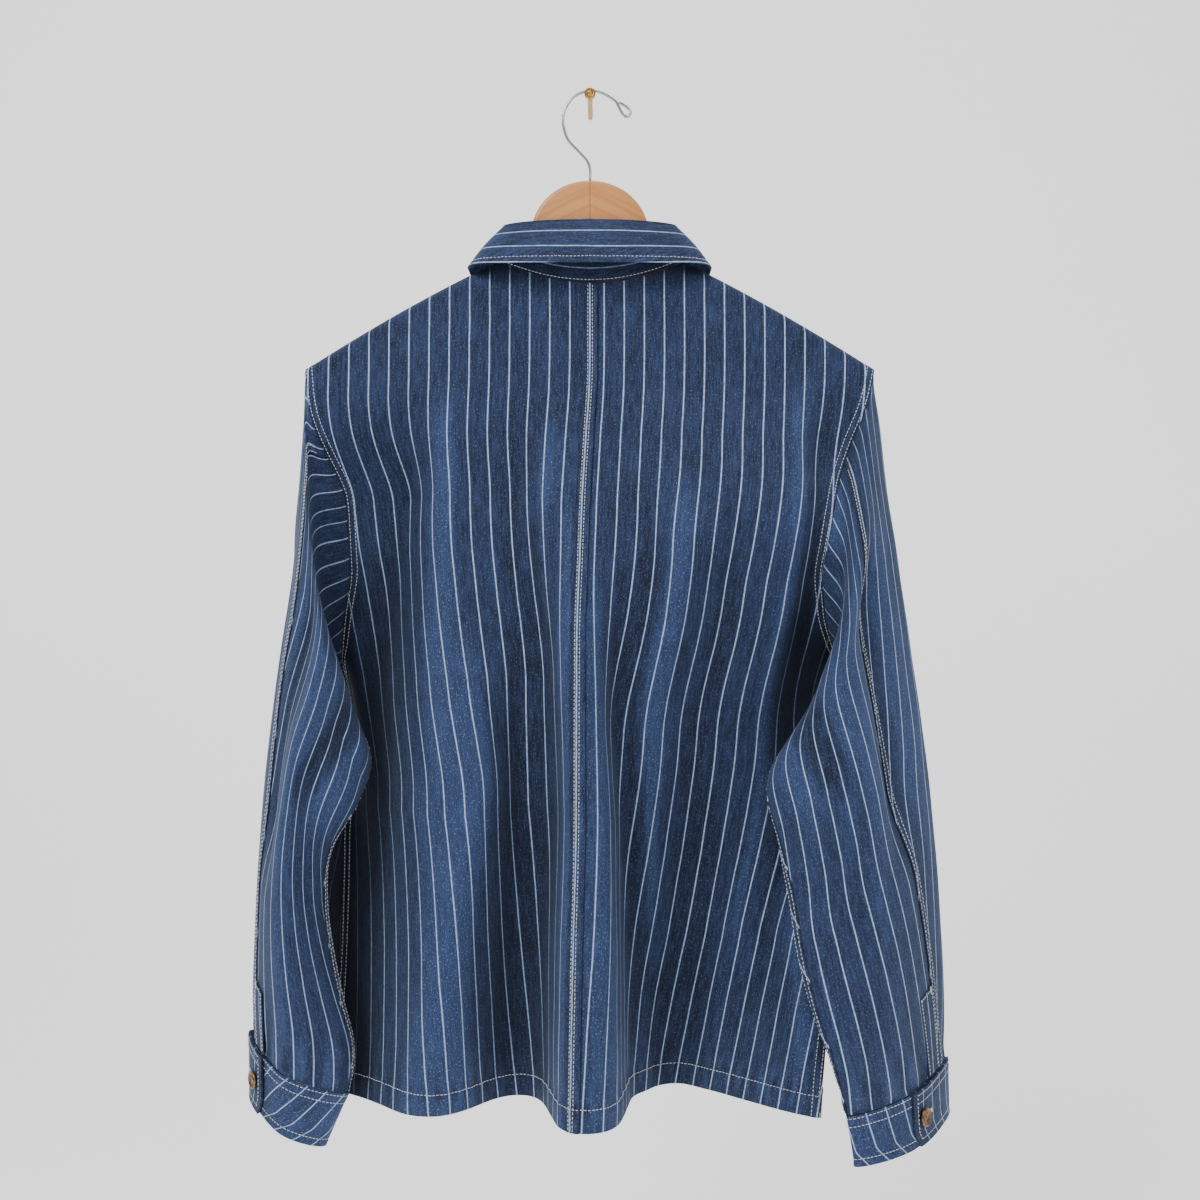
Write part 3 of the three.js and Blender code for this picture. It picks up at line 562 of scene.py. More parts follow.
def sleeve_point(key, loop, s, t):
    """s goes round from the underarm past the back, t down to the cuff seam."""
    rings = SLEEVE_RINGS[key]
    count = len(rings["zo"]) - 1
    lines = [loop(s)] + [ring_point(rings, k, s) for k in range(count)]
    gap = np.linalg.norm(lines[1] - lines[0], axis=-1, keepdims=True)
    lines[0] = lines[0] + (lines[1] - lines[0]) * (0.8 / gap)
    lines = [2 * lines[0] - lines[1]] + lines + [2 * lines[-1] - lines[-2]]
    lines = np.stack(lines)
    f = np.clip(t * count, 0, count - 1e-9)
    i, f = f.astype(int), (f - f.astype(int))[..., None]
    cell = np.indices(s.shape)
    pick = lambda k: lines[(k,) + tuple(cell)]
    p = curve_through(pick(i), pick(i + 1), pick(i + 2), pick(i + 3), f)
    centres = np.stack([ring_centre(rings, max(k - 1, 0)) for k in range(count + 1)])
    inwards = mix(centres[i], centres[i + 1], f) - p
    inwards[..., 2] = 0
    inwards /= np.linalg.norm(inwards, axis=-1, keepdims=True)
    around = s - np.floor(s)
    for t0, t1, s0, s1, half, depth in SLEEVE_CREASES[key].values():
        q = (t - t0) / (t1 - t0)
        middle = mix(s0, s1, np.clip(q, 0, 1))
        reach = smooth(q * 4) * smooth((1 - q) * 4)
        p = p + inwards * (depth * reach * np.exp(-(((around - middle) / half) ** 2)))[..., None]
    return p


def sleeve_grid(key, loop, start_key, end_key, wrap, columns, rows):
    t = np.concatenate([np.linspace(0, 0.04, 7)[:-1], np.linspace(0.04, 1, rows - 6)])[:, None]
    start = column(SLEEVE_SEAMS, start_key, t, "t") + 0.0009
    end = column(SLEEVE_SEAMS, end_key, t, "t") + wrap - 0.0009
    s = mix(start, end, np.linspace(0, 1, columns + 1)[None, :])
    t = np.broadcast_to(t, s.shape)
    return sleeve_point(key, loop, s, t), s, t


# Cloth meshes


def grid_normals(grid):
    across = np.gradient(grid, axis=1)
    down = np.gradient(grid, axis=0)
    n = np.cross(across, down)
    return n / np.maximum(np.linalg.norm(n, axis=-1, keepdims=True), 1e-9)


def outwards(grid, hollow):
    """Unit normals that point away from the hollow the cloth goes round."""
    n = grid_normals(grid)
    to_hollow = hollow - grid
    to_hollow = to_hollow / np.linalg.norm(to_hollow, axis=-1, keepdims=True)
    return -n if (n * to_hollow).sum() > 0 else n


def edge_distances(grid):
    """Distance on the cloth of each point from the panel's four edges."""
    across = along(np.swapaxes(grid, 0, 1)).T
    down = along(grid)
    return {
        "start": across,
        "end": across[:, -1:] - across,
        "top": down,
        "bottom": down[-1:] - down,
    }


def bell(x, width):
    return np.exp(-((x / width) ** 2))


def felled(x, length, seed):
    """A felled seam x away: a raised band held down by two stitch rows, puckered between them."""
    band = 0.85 * smooth((FELL + 3 - x) / 2.4)
    held_down = 0.4 * (bell(x - ROW_NEAR, 0.9) + bell(x - ROW_FAR, 0.9))
    beat = length / 8.5 + 1.3 * wave_noise(length / 40, 0 * x, seed)
    pucker = 0.34 * np.sin(math.tau * beat) * bell(x - FELL / 2, 7)
    return band - held_down + pucker


def turned_hem(x, length, seed):
    """The hem x away: a turned-up band, held by one stitch row, that ripples along it."""
    band = 0.7 * smooth((HEM_TURN + 1 - x) / 1.8)
    held_down = 0.4 * bell(x - HEM_ROW, 1)
    beat = length / 12 + 1.2 * wave_noise(length / 45, 0 * x, seed)
    return band - held_down + 0.5 * np.sin(math.tau * beat) * bell(x - HEM_ROW, 9)


def crumple(u, v, seed, amount=1.0):
    """Uneven give of the cloth between its main folds."""
    broad = 0.9 * wave_noise(u / 24, v / 52, seed)
    fine = 0.28 * wave_noise(u / 8, v / 15, seed + 1)
    return amount * (broad + fine)


def rubbed(grid, n, reach=6):
    """How far each point stands out of the cloth round it, from -1 in a fold to 1 at the top of a ridge.
    The denim turns it into wear and painted light on the ridges and painted shade in the folds.
    """

    def standing(step):
        left = np.concatenate([np.repeat(grid[:, :1], step, 1), grid[:, :-step]], axis=1)
        right = np.concatenate([grid[:, step:], np.repeat(grid[:, -1:], step, 1)], axis=1)
        rise = ((grid - (left + right) / 2) * n).sum(-1)
        rise[:, :step] = 0
        rise[:, -step:] = 0
        return rise

    return 0.6 * np.clip(standing(reach) / 4, -1, 1) + 0.4 * np.clip(standing(1) / 0.12, -1, 1)


def shell_mesh(name, grid, uv, wall, hollow):
    """Closed thin cloth: the grid is its outer face, and the inner face takes material 1."""
    rows, cols = grid.shape[:2]
    n = outwards(grid, hollow)
    points = np.concatenate([grid.reshape(-1, 3), (grid - n * wall).reshape(-1, 3)]) * MM
    at = np.arange(rows * cols).reshape(rows, cols)
    quads = np.stack([at[:-1, :-1], at[:-1, 1:], at[1:, 1:], at[1:, :-1]], -1).reshape(-1, 4)
    half = rows * cols
    loop = np.concatenate([at[0, :-1], at[:-1, -1], at[-1, :0:-1], at[:0:-1, 0]])
    ahead = np.roll(loop, -1)
    rim = np.stack([ahead, loop, loop + half, ahead + half], -1)
    faces = np.concatenate([quads, (quads + half)[:, ::-1], rim])
    if (grid_normals(grid) * n).sum() < 0:
        faces = faces[:, ::-1]
    mesh = bpy.data.meshes.new(name)
    mesh.from_pydata(points.tolist(), [], faces.tolist())
    corners = np.empty(len(mesh.loops), np.int32)
    mesh.loops.foreach_get("vertex_index", corners)
    layer = mesh.uv_layers.new(name="cut")
    flat_uv = np.concatenate([uv.reshape(-1, 2), uv.reshape(-1, 2)])[corners]
    layer.data.foreach_set("uv", flat_uv.astype(np.float32).ravel())
    # How far the cloth stands out, which the denim turns into wear and painted light on its ridges and painted
    # shade in its folds
    wear_and_shade = np.concatenate([rubbed(grid, n).ravel(), np.zeros(half)])
    mesh.attributes.new("wear_and_shade", "FLOAT", "POINT").data.foreach_set("value", wear_and_shade.astype(np.float32))
    inside = np.zeros(len(faces), np.int32)
    inside[len(quads) : 2 * len(quads)] = 1
    mesh.polygons.foreach_set("material_index", inside)
    mesh.shade_smooth()
    mesh.set_sharp_from_angle(angle=math.radians(60))
    return mesh


def add_object(name, mesh, nodes, slot, *materials):
    for material in materials:
        mesh.materials.append(material)
    piece = bpy.data.objects.new(name, mesh)
    bpy.context.scene.collection.objects.link(piece)
    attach(piece, "root")
    if nodes:
        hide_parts(*nodes)
    return piece


def add_cloth(context, name, grid, uv, hollow, wall=None):
    """A cloth piece in place of its node; uv, its flat place in the cut cloth in millimetres, becomes the cut
    map.
    """
    wall = context.scene.jacket_sizes.cloth / MM if wall is None else wall
    mesh = shell_mesh(name, grid, uv, wall, hollow)
    piece = add_object(name + "_cloth", mesh, [name], "denim", denim(context), denim_inside(context))
    return piece


# Stitches


def line_on(grid, edge, distance, hollow):
    """Line on the cloth at a distance from one of its edges, with the normals there."""
    n = outwards(grid, hollow)
    if edge in ("top", "bottom"):
        grid, n = np.swapaxes(grid, 0, 1), np.swapaxes(n, 0, 1)
    if edge in ("end", "bottom"):
        grid, n = grid[:, ::-1], n[:, ::-1]
    reach = along(np.swapaxes(grid, 0, 1)).T
    distance = np.broadcast_to(distance, len(grid))
    at = [int(np.searchsorted(r, d)) for r, d in zip(reach, distance)]
    points, normals = [], []
    for j, i in enumerate(at):
        i = min(max(i, 1), grid.shape[1] - 1)
        t = (distance[j] - reach[j, i - 1]) / max(reach[j, i] - reach[j, i - 1], 1e-6)
        points.append(mix(grid[j, i - 1], grid[j, i], t))
        normals.append(mix(n[j, i - 1], n[j, i], t))
    return np.array(points), np.array(normals)


def stitch_run(points, normals, sizes, seed=0):
    """Ends and normals of the stitches along a line on the cloth."""
    length = along(points)
    pitch, stitch = sizes.stitch_pitch / MM, sizes.stitch_length / MM
    rng = np.random.default_rng(seed)
    start = np.arange(0.8, length[-1] - stitch, pitch)
    start = start + rng.uniform(-0.15, 0.15, len(start))

    def at(s, rows):
        return np.stack([np.interp(s, length, rows[:, k]) for k in range(3)], -1)

    return at(start, points), at(start + stitch, points), at(start + stitch / 2, normals)


def bar_run(centre, direction, normal, length, width, pitch=0.75):
    """Close threads side by side along a bar, as in a bar tack or a buttonhole's edge."""
    direction = direction / np.linalg.norm(direction)
    across = np.cross(normal, direction)
    across = across / np.linalg.norm(across)
    s = np.arange(-length / 2, length / 2 + 0.01, pitch)[:, None]
    middle = centre + direction * s
    return middle - across * width / 2, middle + across * width / 2, np.repeat(normal[None], len(s), 0)


STITCH_SIDES = 6


def stitches_mesh(name, runs, thread):
    """All threads as small rounded grains that lie in the cloth by their ends."""
    a = np.concatenate([r[0] for r in runs])
    b = np.concatenate([r[1] for r in runs])
    up = np.concatenate([r[2] for r in runs])
    lengthways = b - a
    up = up - lengthways * ((up * lengthways).sum(-1) / (lengthways**2).sum(-1))[:, None]
    up = up / np.linalg.norm(up, axis=-1, keepdims=True)
    side = np.cross(lengthways / np.linalg.norm(lengthways, axis=-1, keepdims=True), up)
    rings = []
    for t, r, lift in ((0, 0.45, -0.1), (0.16, 0.9, 0.32), (0.5, 1, 0.5), (0.84, 0.9, 0.32), (1, 0.45, -0.1)):
        for k in range(STITCH_SIDES):
            turn = math.tau * k / STITCH_SIDES
            across = side * math.cos(turn) + up * math.sin(turn)
            rings.append(a + lengthways * t + up * lift * thread + across * r * thread / 2)
    points = np.stack(rings, 1)
    count = points.shape[1]
    k = np.arange(STITCH_SIDES)
    ahead = (k + 1) % STITCH_SIDES
    quads = [
        np.stack([j * STITCH_SIDES + k, j * STITCH_SIDES + ahead, (j + 1) * STITCH_SIDES + ahead,
                  (j + 1) * STITCH_SIDES + k], -1)
        for j in range(4)
    ]
    faces = (np.concatenate(quads)[None] + (np.arange(len(a)) * count)[:, None, None]).reshape(-1, 4)
    caps = np.stack([k[::-1], k + 4 * STITCH_SIDES])
    caps = (caps[None] + (np.arange(len(a)) * count)[:, None, None]).reshape(-1, STITCH_SIDES)
    mesh = bpy.data.meshes.new(name)
    mesh.from_pydata((points.reshape(-1, 3) * MM).tolist(), [], faces.tolist() + caps.tolist())
    mesh.shade_smooth()
    return mesh


STITCHED = []


def sew(context, name, *runs):
    mesh = stitches_mesh(name, runs, context.scene.jacket_sizes.thread / MM)
    return add_object(name, mesh, [], "denim", thread(context))

# Shapes, worked out once and used by several pieces

TO_WALL = np.array((0.0, 4000.0, -500.0))
TO_ROOM = np.array((0.0, -4000.0, -500.0))
SIDES = {"left": -1, "right": 1}


@functools.lru_cache(maxsize=None)
def body_shapes(key):
    """Plain back and front grids of one side, with the rows' parts of their height."""
    side = SIDES[key]
    parts = row_parts(BODY_STEP)
    back, across = back_grid(side, BACK_COLUMNS, parts)
    return back, across, front_grid(side, FRONT_COLUMNS, parts), parts


@functools.lru_cache(maxsize=None)
def sleeve_loop(key):
    side = SIDES[key]
    parts = row_parts(BODY_STEP)
    z = mix(TIP_Z, HEM_Z, parts[: underarm_row(parts) + 1])
    up = back_point(side, back_width(side, z) - SEAM_GAP / 2, z)[:, None]
    front = body_shapes(key)[2]
    return armhole_loop(up, front, underarm_row(parts))


@functools.lru_cache(maxsize=None)
def dressed_back(key):
    """Back panel with its seams, hem and give, and its place in the cut cloth."""
    side = SIDES[key]
    grid, across, _, _ = body_shapes(key)
    d = edge_distances(grid)
    z = grid[..., 2]
    lap = lap_edge(z)
    if side < 0:
        over = 1.25 * smooth((lap + 3.9 - d["start"]) / 2.2)
        row = bell(d["start"] - lap - CB_ROW_LEFT, 0.9) + bell(d["start"] - lap + CB_ROW_RIGHT, 0.9)
        beat = d["top"] / 9 + 1.3 * wave_noise(d["top"] / 42, 0 * z, 4)
        centre = over - 0.4 * row + 0.34 * np.sin(math.tau * beat) * bell(d["start"] - lap, 7)
    else:
        centre = -0.5 * smooth((lap + 2 - d["start"]) / 3)
    seam = felled(d["end"], d["top"], 11 + side) * smooth((d["top"] - 2) / 14)
    hem = turned_hem(d["bottom"], d["start"], 21 + side)
    ease = smooth(d["start"] / 20) * smooth(d["end"] / 12) * smooth(d["top"] / 25)
    relief = centre + seam + hem * smooth(d["end"] / 4) + crumple(across, z, 30 + side) * ease
    grid = grid + outwards(grid, TO_WALL) * relief[..., None]
    shift = 0 if side < 0 else CB_STEP + column(STRIPE_DRIFT, "shift", z)
    return grid, np.stack([across - shift, -z], -1)


@functools.lru_cache(maxsize=None)
def dressed_front(key):
    side = SIDES[key]
    _, _, grid, _ = body_shapes(key)
    d = edge_distances(grid)
    z = grid[..., 2]
    placket = 0.7 * smooth((30 - d["start"]) / 2) - 0.4 * bell(d["start"] - 28, 1)
    hem = turned_hem(d["bottom"], d["start"], 41 + side) * smooth(d["start"] / 4)
    ease = smooth(d["start"] / 40) * smooth(d["end"] / 12) * smooth(d["top"] / 25)
    relief = placket * smooth(d["top"] / 6) + hem + crumple(d["start"], z, 50 + side) * ease
    grid = grid + outwards(grid, TO_ROOM) * relief[..., None]
    return grid, np.stack([side * d["start"], -z], -1)


@functools.lru_cache(maxsize=None)
def dressed_sleeve(key, part):
    """Top or under sleeve with its seams and drag folds, and its place in the cut cloth."""
    loop = sleeve_loop(key)
    if part == "top":
        grid, s, t = sleeve_grid(key, loop, "elbow_" + key, "underarm", 1, TOP_COLUMNS, SLEEVE_ROWS)
    else:
        grid, s, t = sleeve_grid(key, loop, "underarm", "elbow_" + key, 0, UNDER_COLUMNS, SLEEVE_ROWS)
    hollow = ring_centre(SLEEVE_RINGS[key], 4)
    d = edge_distances(grid)
    width = d["start"][:, -1:]
    length = d["top"]
    seed = {"top": 60, "under": 70}[part] + SIDES[key]
    relief = crumple(d["start"] - width / 2, length, seed, 1.1)
    relief = relief * smooth(d["start"] / 14) * smooth(d["end"] / 14) * smooth(length / 18)
    relief = relief * smooth(d["bottom"] / 12)
    gathers = 0.9 * np.sin(math.tau * (d["start"] / 26 + 0.6 * wave_noise(d["start"] / 60, 0 * t, seed)))
    relief = relief + gathers * bell(d["bottom"] - 6, 26) * smooth(d["bottom"] / 6)
    if part == "top":
        relief = relief + felled(d["start"], length, seed + 2) * smooth((length - 4) / 14)
        relief = relief + felled(d["end"], length, seed + 3) * smooth((length - 8) / 14)
    grid = grid + outwards(grid, hollow) * relief[..., None]
    turn = SIDES[key] if part == "top" else -SIDES[key]
    straight = np.maximum(np.arange(len(t)), int(np.searchsorted(t[:, 0], STRIPES_FROM)))
    across = (d["start"] - width / 2)[straight]
    return grid, np.stack([turn * across, length], -1)


@functools.lru_cache(maxsize=None)
def cuff_shape(key):
    """Cuff band: starts under the tab, goes round the inside of the arm and ends on top."""
    rings = SLEEVE_RINGS[key]
    last = len(rings["zo"]) - 1
    start, end = CUFF_SPAN[key]
    c = np.linspace(0, 1, CUFF_COLUMNS + 1)
    s = mix(start, end, c)
    rows = []
    for v in np.linspace(0, 1, CUFF_ROWS + 1):
        p = mix(ring_point(rings, last - 1, s), ring_point(rings, last, s), v)
        centre = mix(ring_centre(rings, last - 1), ring_centre(rings, last), v)
        away = (p - centre) * (1, 1, 0)
        away = away / np.linalg.norm(away, axis=-1, keepdims=True)
        p = p + away * (0.9 + 3.0 * smooth((-0.3 - s) / 0.2))[:, None]
        p[:, 2] -= 3 * SEAM_GAP * (1 - v)
        length = along(p)
        keep = length[-1] - TAB_MITRE * max(0, v - 0.72) / 0.28
        at = np.linspace(0, keep, len(c))
        rows.append(np.stack([np.interp(at, length, p[:, k]) for k in range(3)], -1))
    grid = np.array(rows)
    hollow = ring_centre(rings, last)
    d = edge_distances(grid)
    rim = 0.35 * smooth((5 - d["bottom"]) / 3) - 0.35 * bell(d["bottom"] - 6, 1)
    rim = rim + 0.35 * smooth((10 - d["top"]) / 3) - 0.35 * (bell(d["top"] - 2, 1) + bell(d["top"] - 8.5, 1))
    rim = rim + crumple(d["start"], d["top"], 80 + SIDES[key], 0.5) * smooth(d["top"] / 6)
    grid = grid + outwards(grid, hollow) * rim[..., None]
    return grid, np.stack([d["end"] + 3, d["top"]], -1), hollow


@functools.lru_cache(maxsize=None)
def placket_shape(key):
    loop = sleeve_loop(key)
    t = np.linspace(0.86, 0.995, 40)[:, None]
    seam = column(SLEEVE_SEAMS, "elbow_" + key, t, "t")
    s = seam - 0.004 - 0.05 * np.linspace(0, 1, 15)[None, :]
    grid = sleeve_point(key, loop, s, np.broadcast_to(t, s.shape))
    hollow = ring_centre(SLEEVE_RINGS[key], 4)
    grid = grid + outwards(grid, hollow) * 2.0
    d = edge_distances(grid)
    return grid, np.stack([d["start"] + 6, d["top"]], -1), hollow


def collar_point(ring, a):
    c = np.cos(a * math.pi)
    across = np.abs(np.sin(a * math.pi)) ** (2 / NECK_POWER)
    deep = np.abs(c) ** (2 / NECK_POWER)
    front = c < 0
    x = mix(np.where(front, ring["front"], 0), ring["side"], across) * np.sign(a)
    z = mix(np.where(front, ring["frontZ"], ring["backZ"]), ring["sideZ"], across**2)
    y = deep * np.where(front, ring["frontY"], ring["backY"])
    return np.stack([x, y, z], -1)


def out_of_neck(a):
    here, ahead = collar_point(COLLAR["fold"], a - 0.01), collar_point(COLLAR["fold"], a + 0.01)
    out = np.stack([ahead[:, 1] - here[:, 1], here[:, 0] - ahead[:, 0], 0 * a], -1)
    return out / np.linalg.norm(out, axis=-1, keepdims=True)


COLLAR_HOLLOW = np.array((0.0, 0.0, -140.0))


@functools.lru_cache(maxsize=None)
def collar_shapes():
    """Stand up to the fold, and the fall rolled over it down to the collar's edge."""
    a = np.linspace(-0.99, 0.99, COLLAR_COLUMNS_FINE + 1)
    seam, fold = collar_point(COLLAR["seam"], a), collar_point(COLLAR["fold"], a)
    seam[:, 2] += 4 * SEAM_GAP
    stand = np.array([mix(seam, fold, v) for v in np.linspace(0, 1, 14)])
    stand = stand + np.array((0, 0, -0.4)) * np.linspace(0, 1, 14)[:, None, None]
    a = np.linspace(-0.985, 0.985, COLLAR_COLUMNS_FINE + 1)
    fold, edge = collar_point(COLLAR["fold"], a), collar_point(COLLAR["edge"], a)
    out = out_of_neck(a)
    rows = []
    for turn in np.linspace(math.pi * 0.92, 0, 7)[:-1]:
        lift = np.array((0, 0, COLLAR_ROLL * math.sin(turn)))
        rows.append(fold + out * (COLLAR_ROLL * (1 + math.cos(turn))) + lift)
    for v in np.linspace(0, 1, 22):
        wave = 0.5 * np.sin(a * 17 + 2) * v
        shift = 2 * COLLAR_ROLL + 2.3 * math.sin(math.pi * v) + wave
        rows.append(mix(fold, edge, v) + out * shift[:, None])
    fall = np.array(rows)
    d = edge_distances(fall)
    rim = 0.4 * smooth((6.5 - d["bottom"]) / 3) - 0.4 * bell(d["bottom"] - COLLAR_ROW, 1)
    beat = d["start"] / 10 + wave_noise(d["start"] / 40, 0 * rim, 5)
    rim = rim + 0.25 * np.sin(math.tau * beat) * bell(d["bottom"] - COLLAR_ROW, 6)
    fall = fall + outwards(fall, COLLAR_HOLLOW) * rim[..., None]
    roll = d["top"] - math.pi * COLLAR_ROLL
    uv = np.stack([roll - COLLAR_STRIPE_TOP, d["start"]], -1)
    ds = edge_distances(stand)
    return stand, np.stack([ds["top"] + 5, ds["start"]], -1), fall, uv


# Patch pockets: sides as parts of the front panel's width, top and bottom heights
POCKETS = {
    "pocket_hip_left": ("left", 4 / 18, 13 / 18, -665, -797),
    "pocket_hip_right": ("right", 4 / 18, 13 / 18, -665, -797),
    "pocket_chest_left": ("left", 5 / 18, 12 / 18, -350, -455),
}


def pocket_shape(name):
    key, c0, c1, top_row, bottom_row = POCKETS[name]
    side = SIDES[key]
    c = np.linspace(c0, c1, 49)[None, :]
    top_x, _ = front_point(side, c, np.full_like(c, TIP_Z))
    top = top_z(top_x, NECK_FRONT_Z)
    parts = (TIP_Z - np.linspace(top_row, bottom_row, 45))[:, None] / (TIP_Z - HEM_Z)
    z = mix(top, HEM_Z, parts)
    x, y = front_point(side, np.broadcast_to(c, z.shape), z)
    grid = np.stack([x, y, z], -1)
    d = edge_distances(grid)
    rim = np.minimum(np.minimum(d["start"], d["end"]), d["bottom"])
    relief = 2.1 + 0.4 * smooth((rim - 1) / 12) - 0.3 * (bell(rim - 2, 1) + bell(rim - 8, 1))
    relief = relief + 0.5 * smooth((26 - d["top"]) / 2) - 0.3 * bell(d["top"] - 24, 1)
    grid = grid + outwards(grid, TO_ROOM) * relief[..., None]
    return grid, np.stack([side * (d["start"] + 25), -z], -1)


# Materials


def linear(hex_colour):
    """An sRGB hex colour as the linear one that nodes take."""
    parts = [int(hex_colour[i : i + 2], 16) / 255 for i in (1, 3, 5)]
    parts = [p / 12.92 if p <= 0.04045 else ((p + 0.055) / 1.055) ** 2.4 for p in parts]
    return (*parts, 1.0)


def add_node(tree, kind, inputs=(), output=0, **settings):
    """One node with its settings, values and links; returns one of its outputs."""
    made = tree.nodes.new(kind)
    for key, value in settings.items():
        setattr(made, key, value)
    for socket, value in dict(inputs).items():
        if isinstance(value, bpy.types.NodeSocket):
            tree.links.new(value, made.inputs[socket])
        else:
            made.inputs[socket].default_value = value
    return made.outputs[output] if len(made.outputs) else made


def new_material(name, build, **surface):
    """A material once for each name: build gives the linked inputs of its surface shader."""
    if name in bpy.data.materials:
        return bpy.data.materials[name]
    material = bpy.data.materials.new(name)
    material.use_nodes = True
    tree = material.node_tree
    tree.nodes.clear()
    linked = build(tree)
    shader = add_node(tree, "ShaderNodeBsdfPrincipled", {**surface, **linked})
    add_node(tree, "ShaderNodeOutputMaterial", {"Surface": shader})
    return material


def colour_of(picked):
    return (*picked, 1.0)


def denim(context):
    """Ring-spun indigo denim, woven right-hand twill with a pinstripe yarn: matt, with white
    flecks and long slubs down the warp; paler where it stands out, as wear and as painted light,
    darker in its folds as painted shade, and near-black as painted shade deep between the
    sleeves and the body."""
    sizes, colours = context.scene.jacket_sizes, context.scene.jacket_colours

    def build(tree):
        cut = add_node(tree, "ShaderNodeUVMap", uv_map="cut")
        across = add_node(tree, "ShaderNodeSeparateXYZ", {0: cut})
        down = across.node.outputs[1]

        def cloth_noise(across_mm, down_mm, detail, seed):
            """Noise whose grains are so many millimetres across and down the cloth."""
            scaled = add_node(tree, "ShaderNodeVectorMath",
                              {0: cut, 1: (1 / across_mm, 1 / down_mm, 1)}, operation="MULTIPLY")
            moved = add_node(tree, "ShaderNodeVectorMath", {0: scaled, 1: (seed, 2 * seed, seed)})
            return add_node(tree, "ShaderNodeTexNoise", {"Vector": moved, "Scale": 1.0, "Detail": detail})

        def ramp(value, low, high):
            return add_node(tree, "ShaderNodeMapRange", {0: value, 1: low, 2: high},
                            interpolation_type="SMOOTHSTEP")

        def math_of(operation, *values):
            return add_node(tree, "ShaderNodeMath", dict(enumerate(values)), operation=operation)

        def blend(share, a, b):
            made = add_node(tree, "ShaderNodeMix", {0: share, 6: a, 7: b}, output=2, data_type="RGBA")
            return made

        # Warp threads are 0.4 mm apart; drawn 1.3 mm wide so that they show
        warp = ramp(cloth_noise(1.3, 14, 2, 3), 0.36, 0.66)
        slub = ramp(cloth_noise(2.6, 42, 3, 9), 0.4, 0.7)
        fleck = ramp(cloth_noise(1.1, 1.7, 2, 15), 0.56, 0.74)
        cloud = ramp(cloth_noise(34, 60, 3, 21), 0.3, 0.72)
        # Twill lines are 0.9 mm apart; drawn 2.2 mm apart
        slant = math_of("ADD", math_of("MULTIPLY", across, 1.0), math_of("MULTIPLY", down, 0.8))
        twill = math_of("SINE", math_of("MULTIPLY", slant, math.tau / 2.2))
        wear_and_shade = add_node(tree, "ShaderNodeAttribute", attribute_name="wear_and_shade", output=2)
        # Shares from the stand-out: paler on ridges as wear and as painted light, darker in folds as painted
        # shade
        crest_wear_and_light = ramp(wear_and_shade, 0.0, 0.75)
        fold = ramp(wear_and_shade, 0.0, -0.7)
        shade = math_of("ADD", math_of("MULTIPLY", warp, 0.34), math_of("MULTIPLY", slub, 0.2))
        shade = math_of("ADD", shade, math_of("MULTIPLY", cloud, 0.16))
        shade = math_of("ADD", shade, math_of("MULTIPLY", crest_wear_and_light, 0.36))
        shade = math_of("SUBTRACT", shade, math_of("MULTIPLY", fold, 0.16))
        shade = math_of("ADD", shade, math_of("MULTIPLY", twill, 0.05))
        indigo = blend(shade, colour_of(colours.indigo_dark), colour_of(colours.indigo_light))
        # More weft flecks show on the ridges, as wear and as painted light
        flecks = math_of("MULTIPLY", fleck, math_of("ADD", 0.24, math_of("MULTIPLY", crest_wear_and_light, 0.22)))
        indigo = blend(flecks, indigo, colour_of(colours.weft))
        wander = math_of("SUBTRACT", cloth_noise(400, 36, 1, 27), 0.5)
        place = math_of("ADD", across, math_of("MULTIPLY", wander, 0.9))
        off_stripe = math_of("PINGPONG", place, sizes.stripe_spacing / MM / 2)
        half = sizes.stripe_width / MM / 2
        stripe = ramp(off_stripe, half + 0.35, half - 0.3)
        broken = ramp(cloth_noise(3, 3.2, 2, 33), 0.25, 0.6)
        stripe = math_of("MULTIPLY", stripe, math_of("ADD", 0.5, math_of("MULTIPLY", broken, 0.42)))
        colour = blend(stripe, indigo, colour_of(colours.stripe))
        # Painted shade: where ambient occlusion finds the cloth hemmed in, deep between the sleeves and the
        # body, its colour is darkened towards near-black
        occlusion_for_painted_shade = add_node(tree, "ShaderNodeAmbientOcclusion", {"Distance": PAINTED_SHADE_REACH}, output=1,
                            samples=6)
        # The hollow share here is painted shade, and #04070f is the painted shadow colour
        hollow = ramp(occlusion_for_painted_shade, 0.72, 0.3)
        colour = blend(math_of("MULTIPLY", hollow, 0.85), colour, linear("#04070f"))
        height = math_of("ADD", math_of("MULTIPLY", twill, 0.25), math_of("MULTIPLY", warp, 0.6))
        height = math_of("ADD", height, math_of("MULTIPLY", fleck, 0.4))
        bump = add_node(tree, "ShaderNodeBump", {"Strength": 0.55, "Distance": 0.0004, "Height": height})
        return {"Base Color": colour, "Normal": bump}

    tint = colour_of(colours.stripe)
    return new_material("striped indigo denim", build, **{
        "Roughness": 0.86, "IOR": 1.5, "Specular IOR Level": 0.25,
        "Sheen Weight": 0.12, "Sheen Roughness": 0.6, "Sheen Tint": tint,
    })


def denim_inside(context):
    """The wrong side of the denim: undyed weft shows, so it is a pale grey blue and matt."""
    colours = context.scene.jacket_colours

    def build(tree):
        cut = add_node(tree, "ShaderNodeUVMap", uv_map="cut")
        grain = add_node(tree, "ShaderNodeVectorMath", {0: cut, 1: (0.16, 0.8, 1)}, operation="MULTIPLY")
        yarn = add_node(tree, "ShaderNodeTexNoise", {"Vector": grain, "Scale": 1.0, "Detail": 3.0})
        pale = add_node(tree, "ShaderNodeMapRange", {0: yarn, 1: 0.3, 2: 0.75})
        colour = add_node(tree, "ShaderNodeMix", {0: pale, 6: colour_of(colours.indigo_light),
                                                 7: colour_of(colours.weft)}, output=2, data_type="RGBA")
        bump = add_node(tree, "ShaderNodeBump", {"Strength": 0.4, "Distance": 0.0003, "Height": yarn})
        return {"Base Color": colour, "Normal": bump}

    return new_material("inside of the denim", build, **{"Roughness": 0.9, "IOR": 1.5,
                                                        "Specular IOR Level": 0.2})


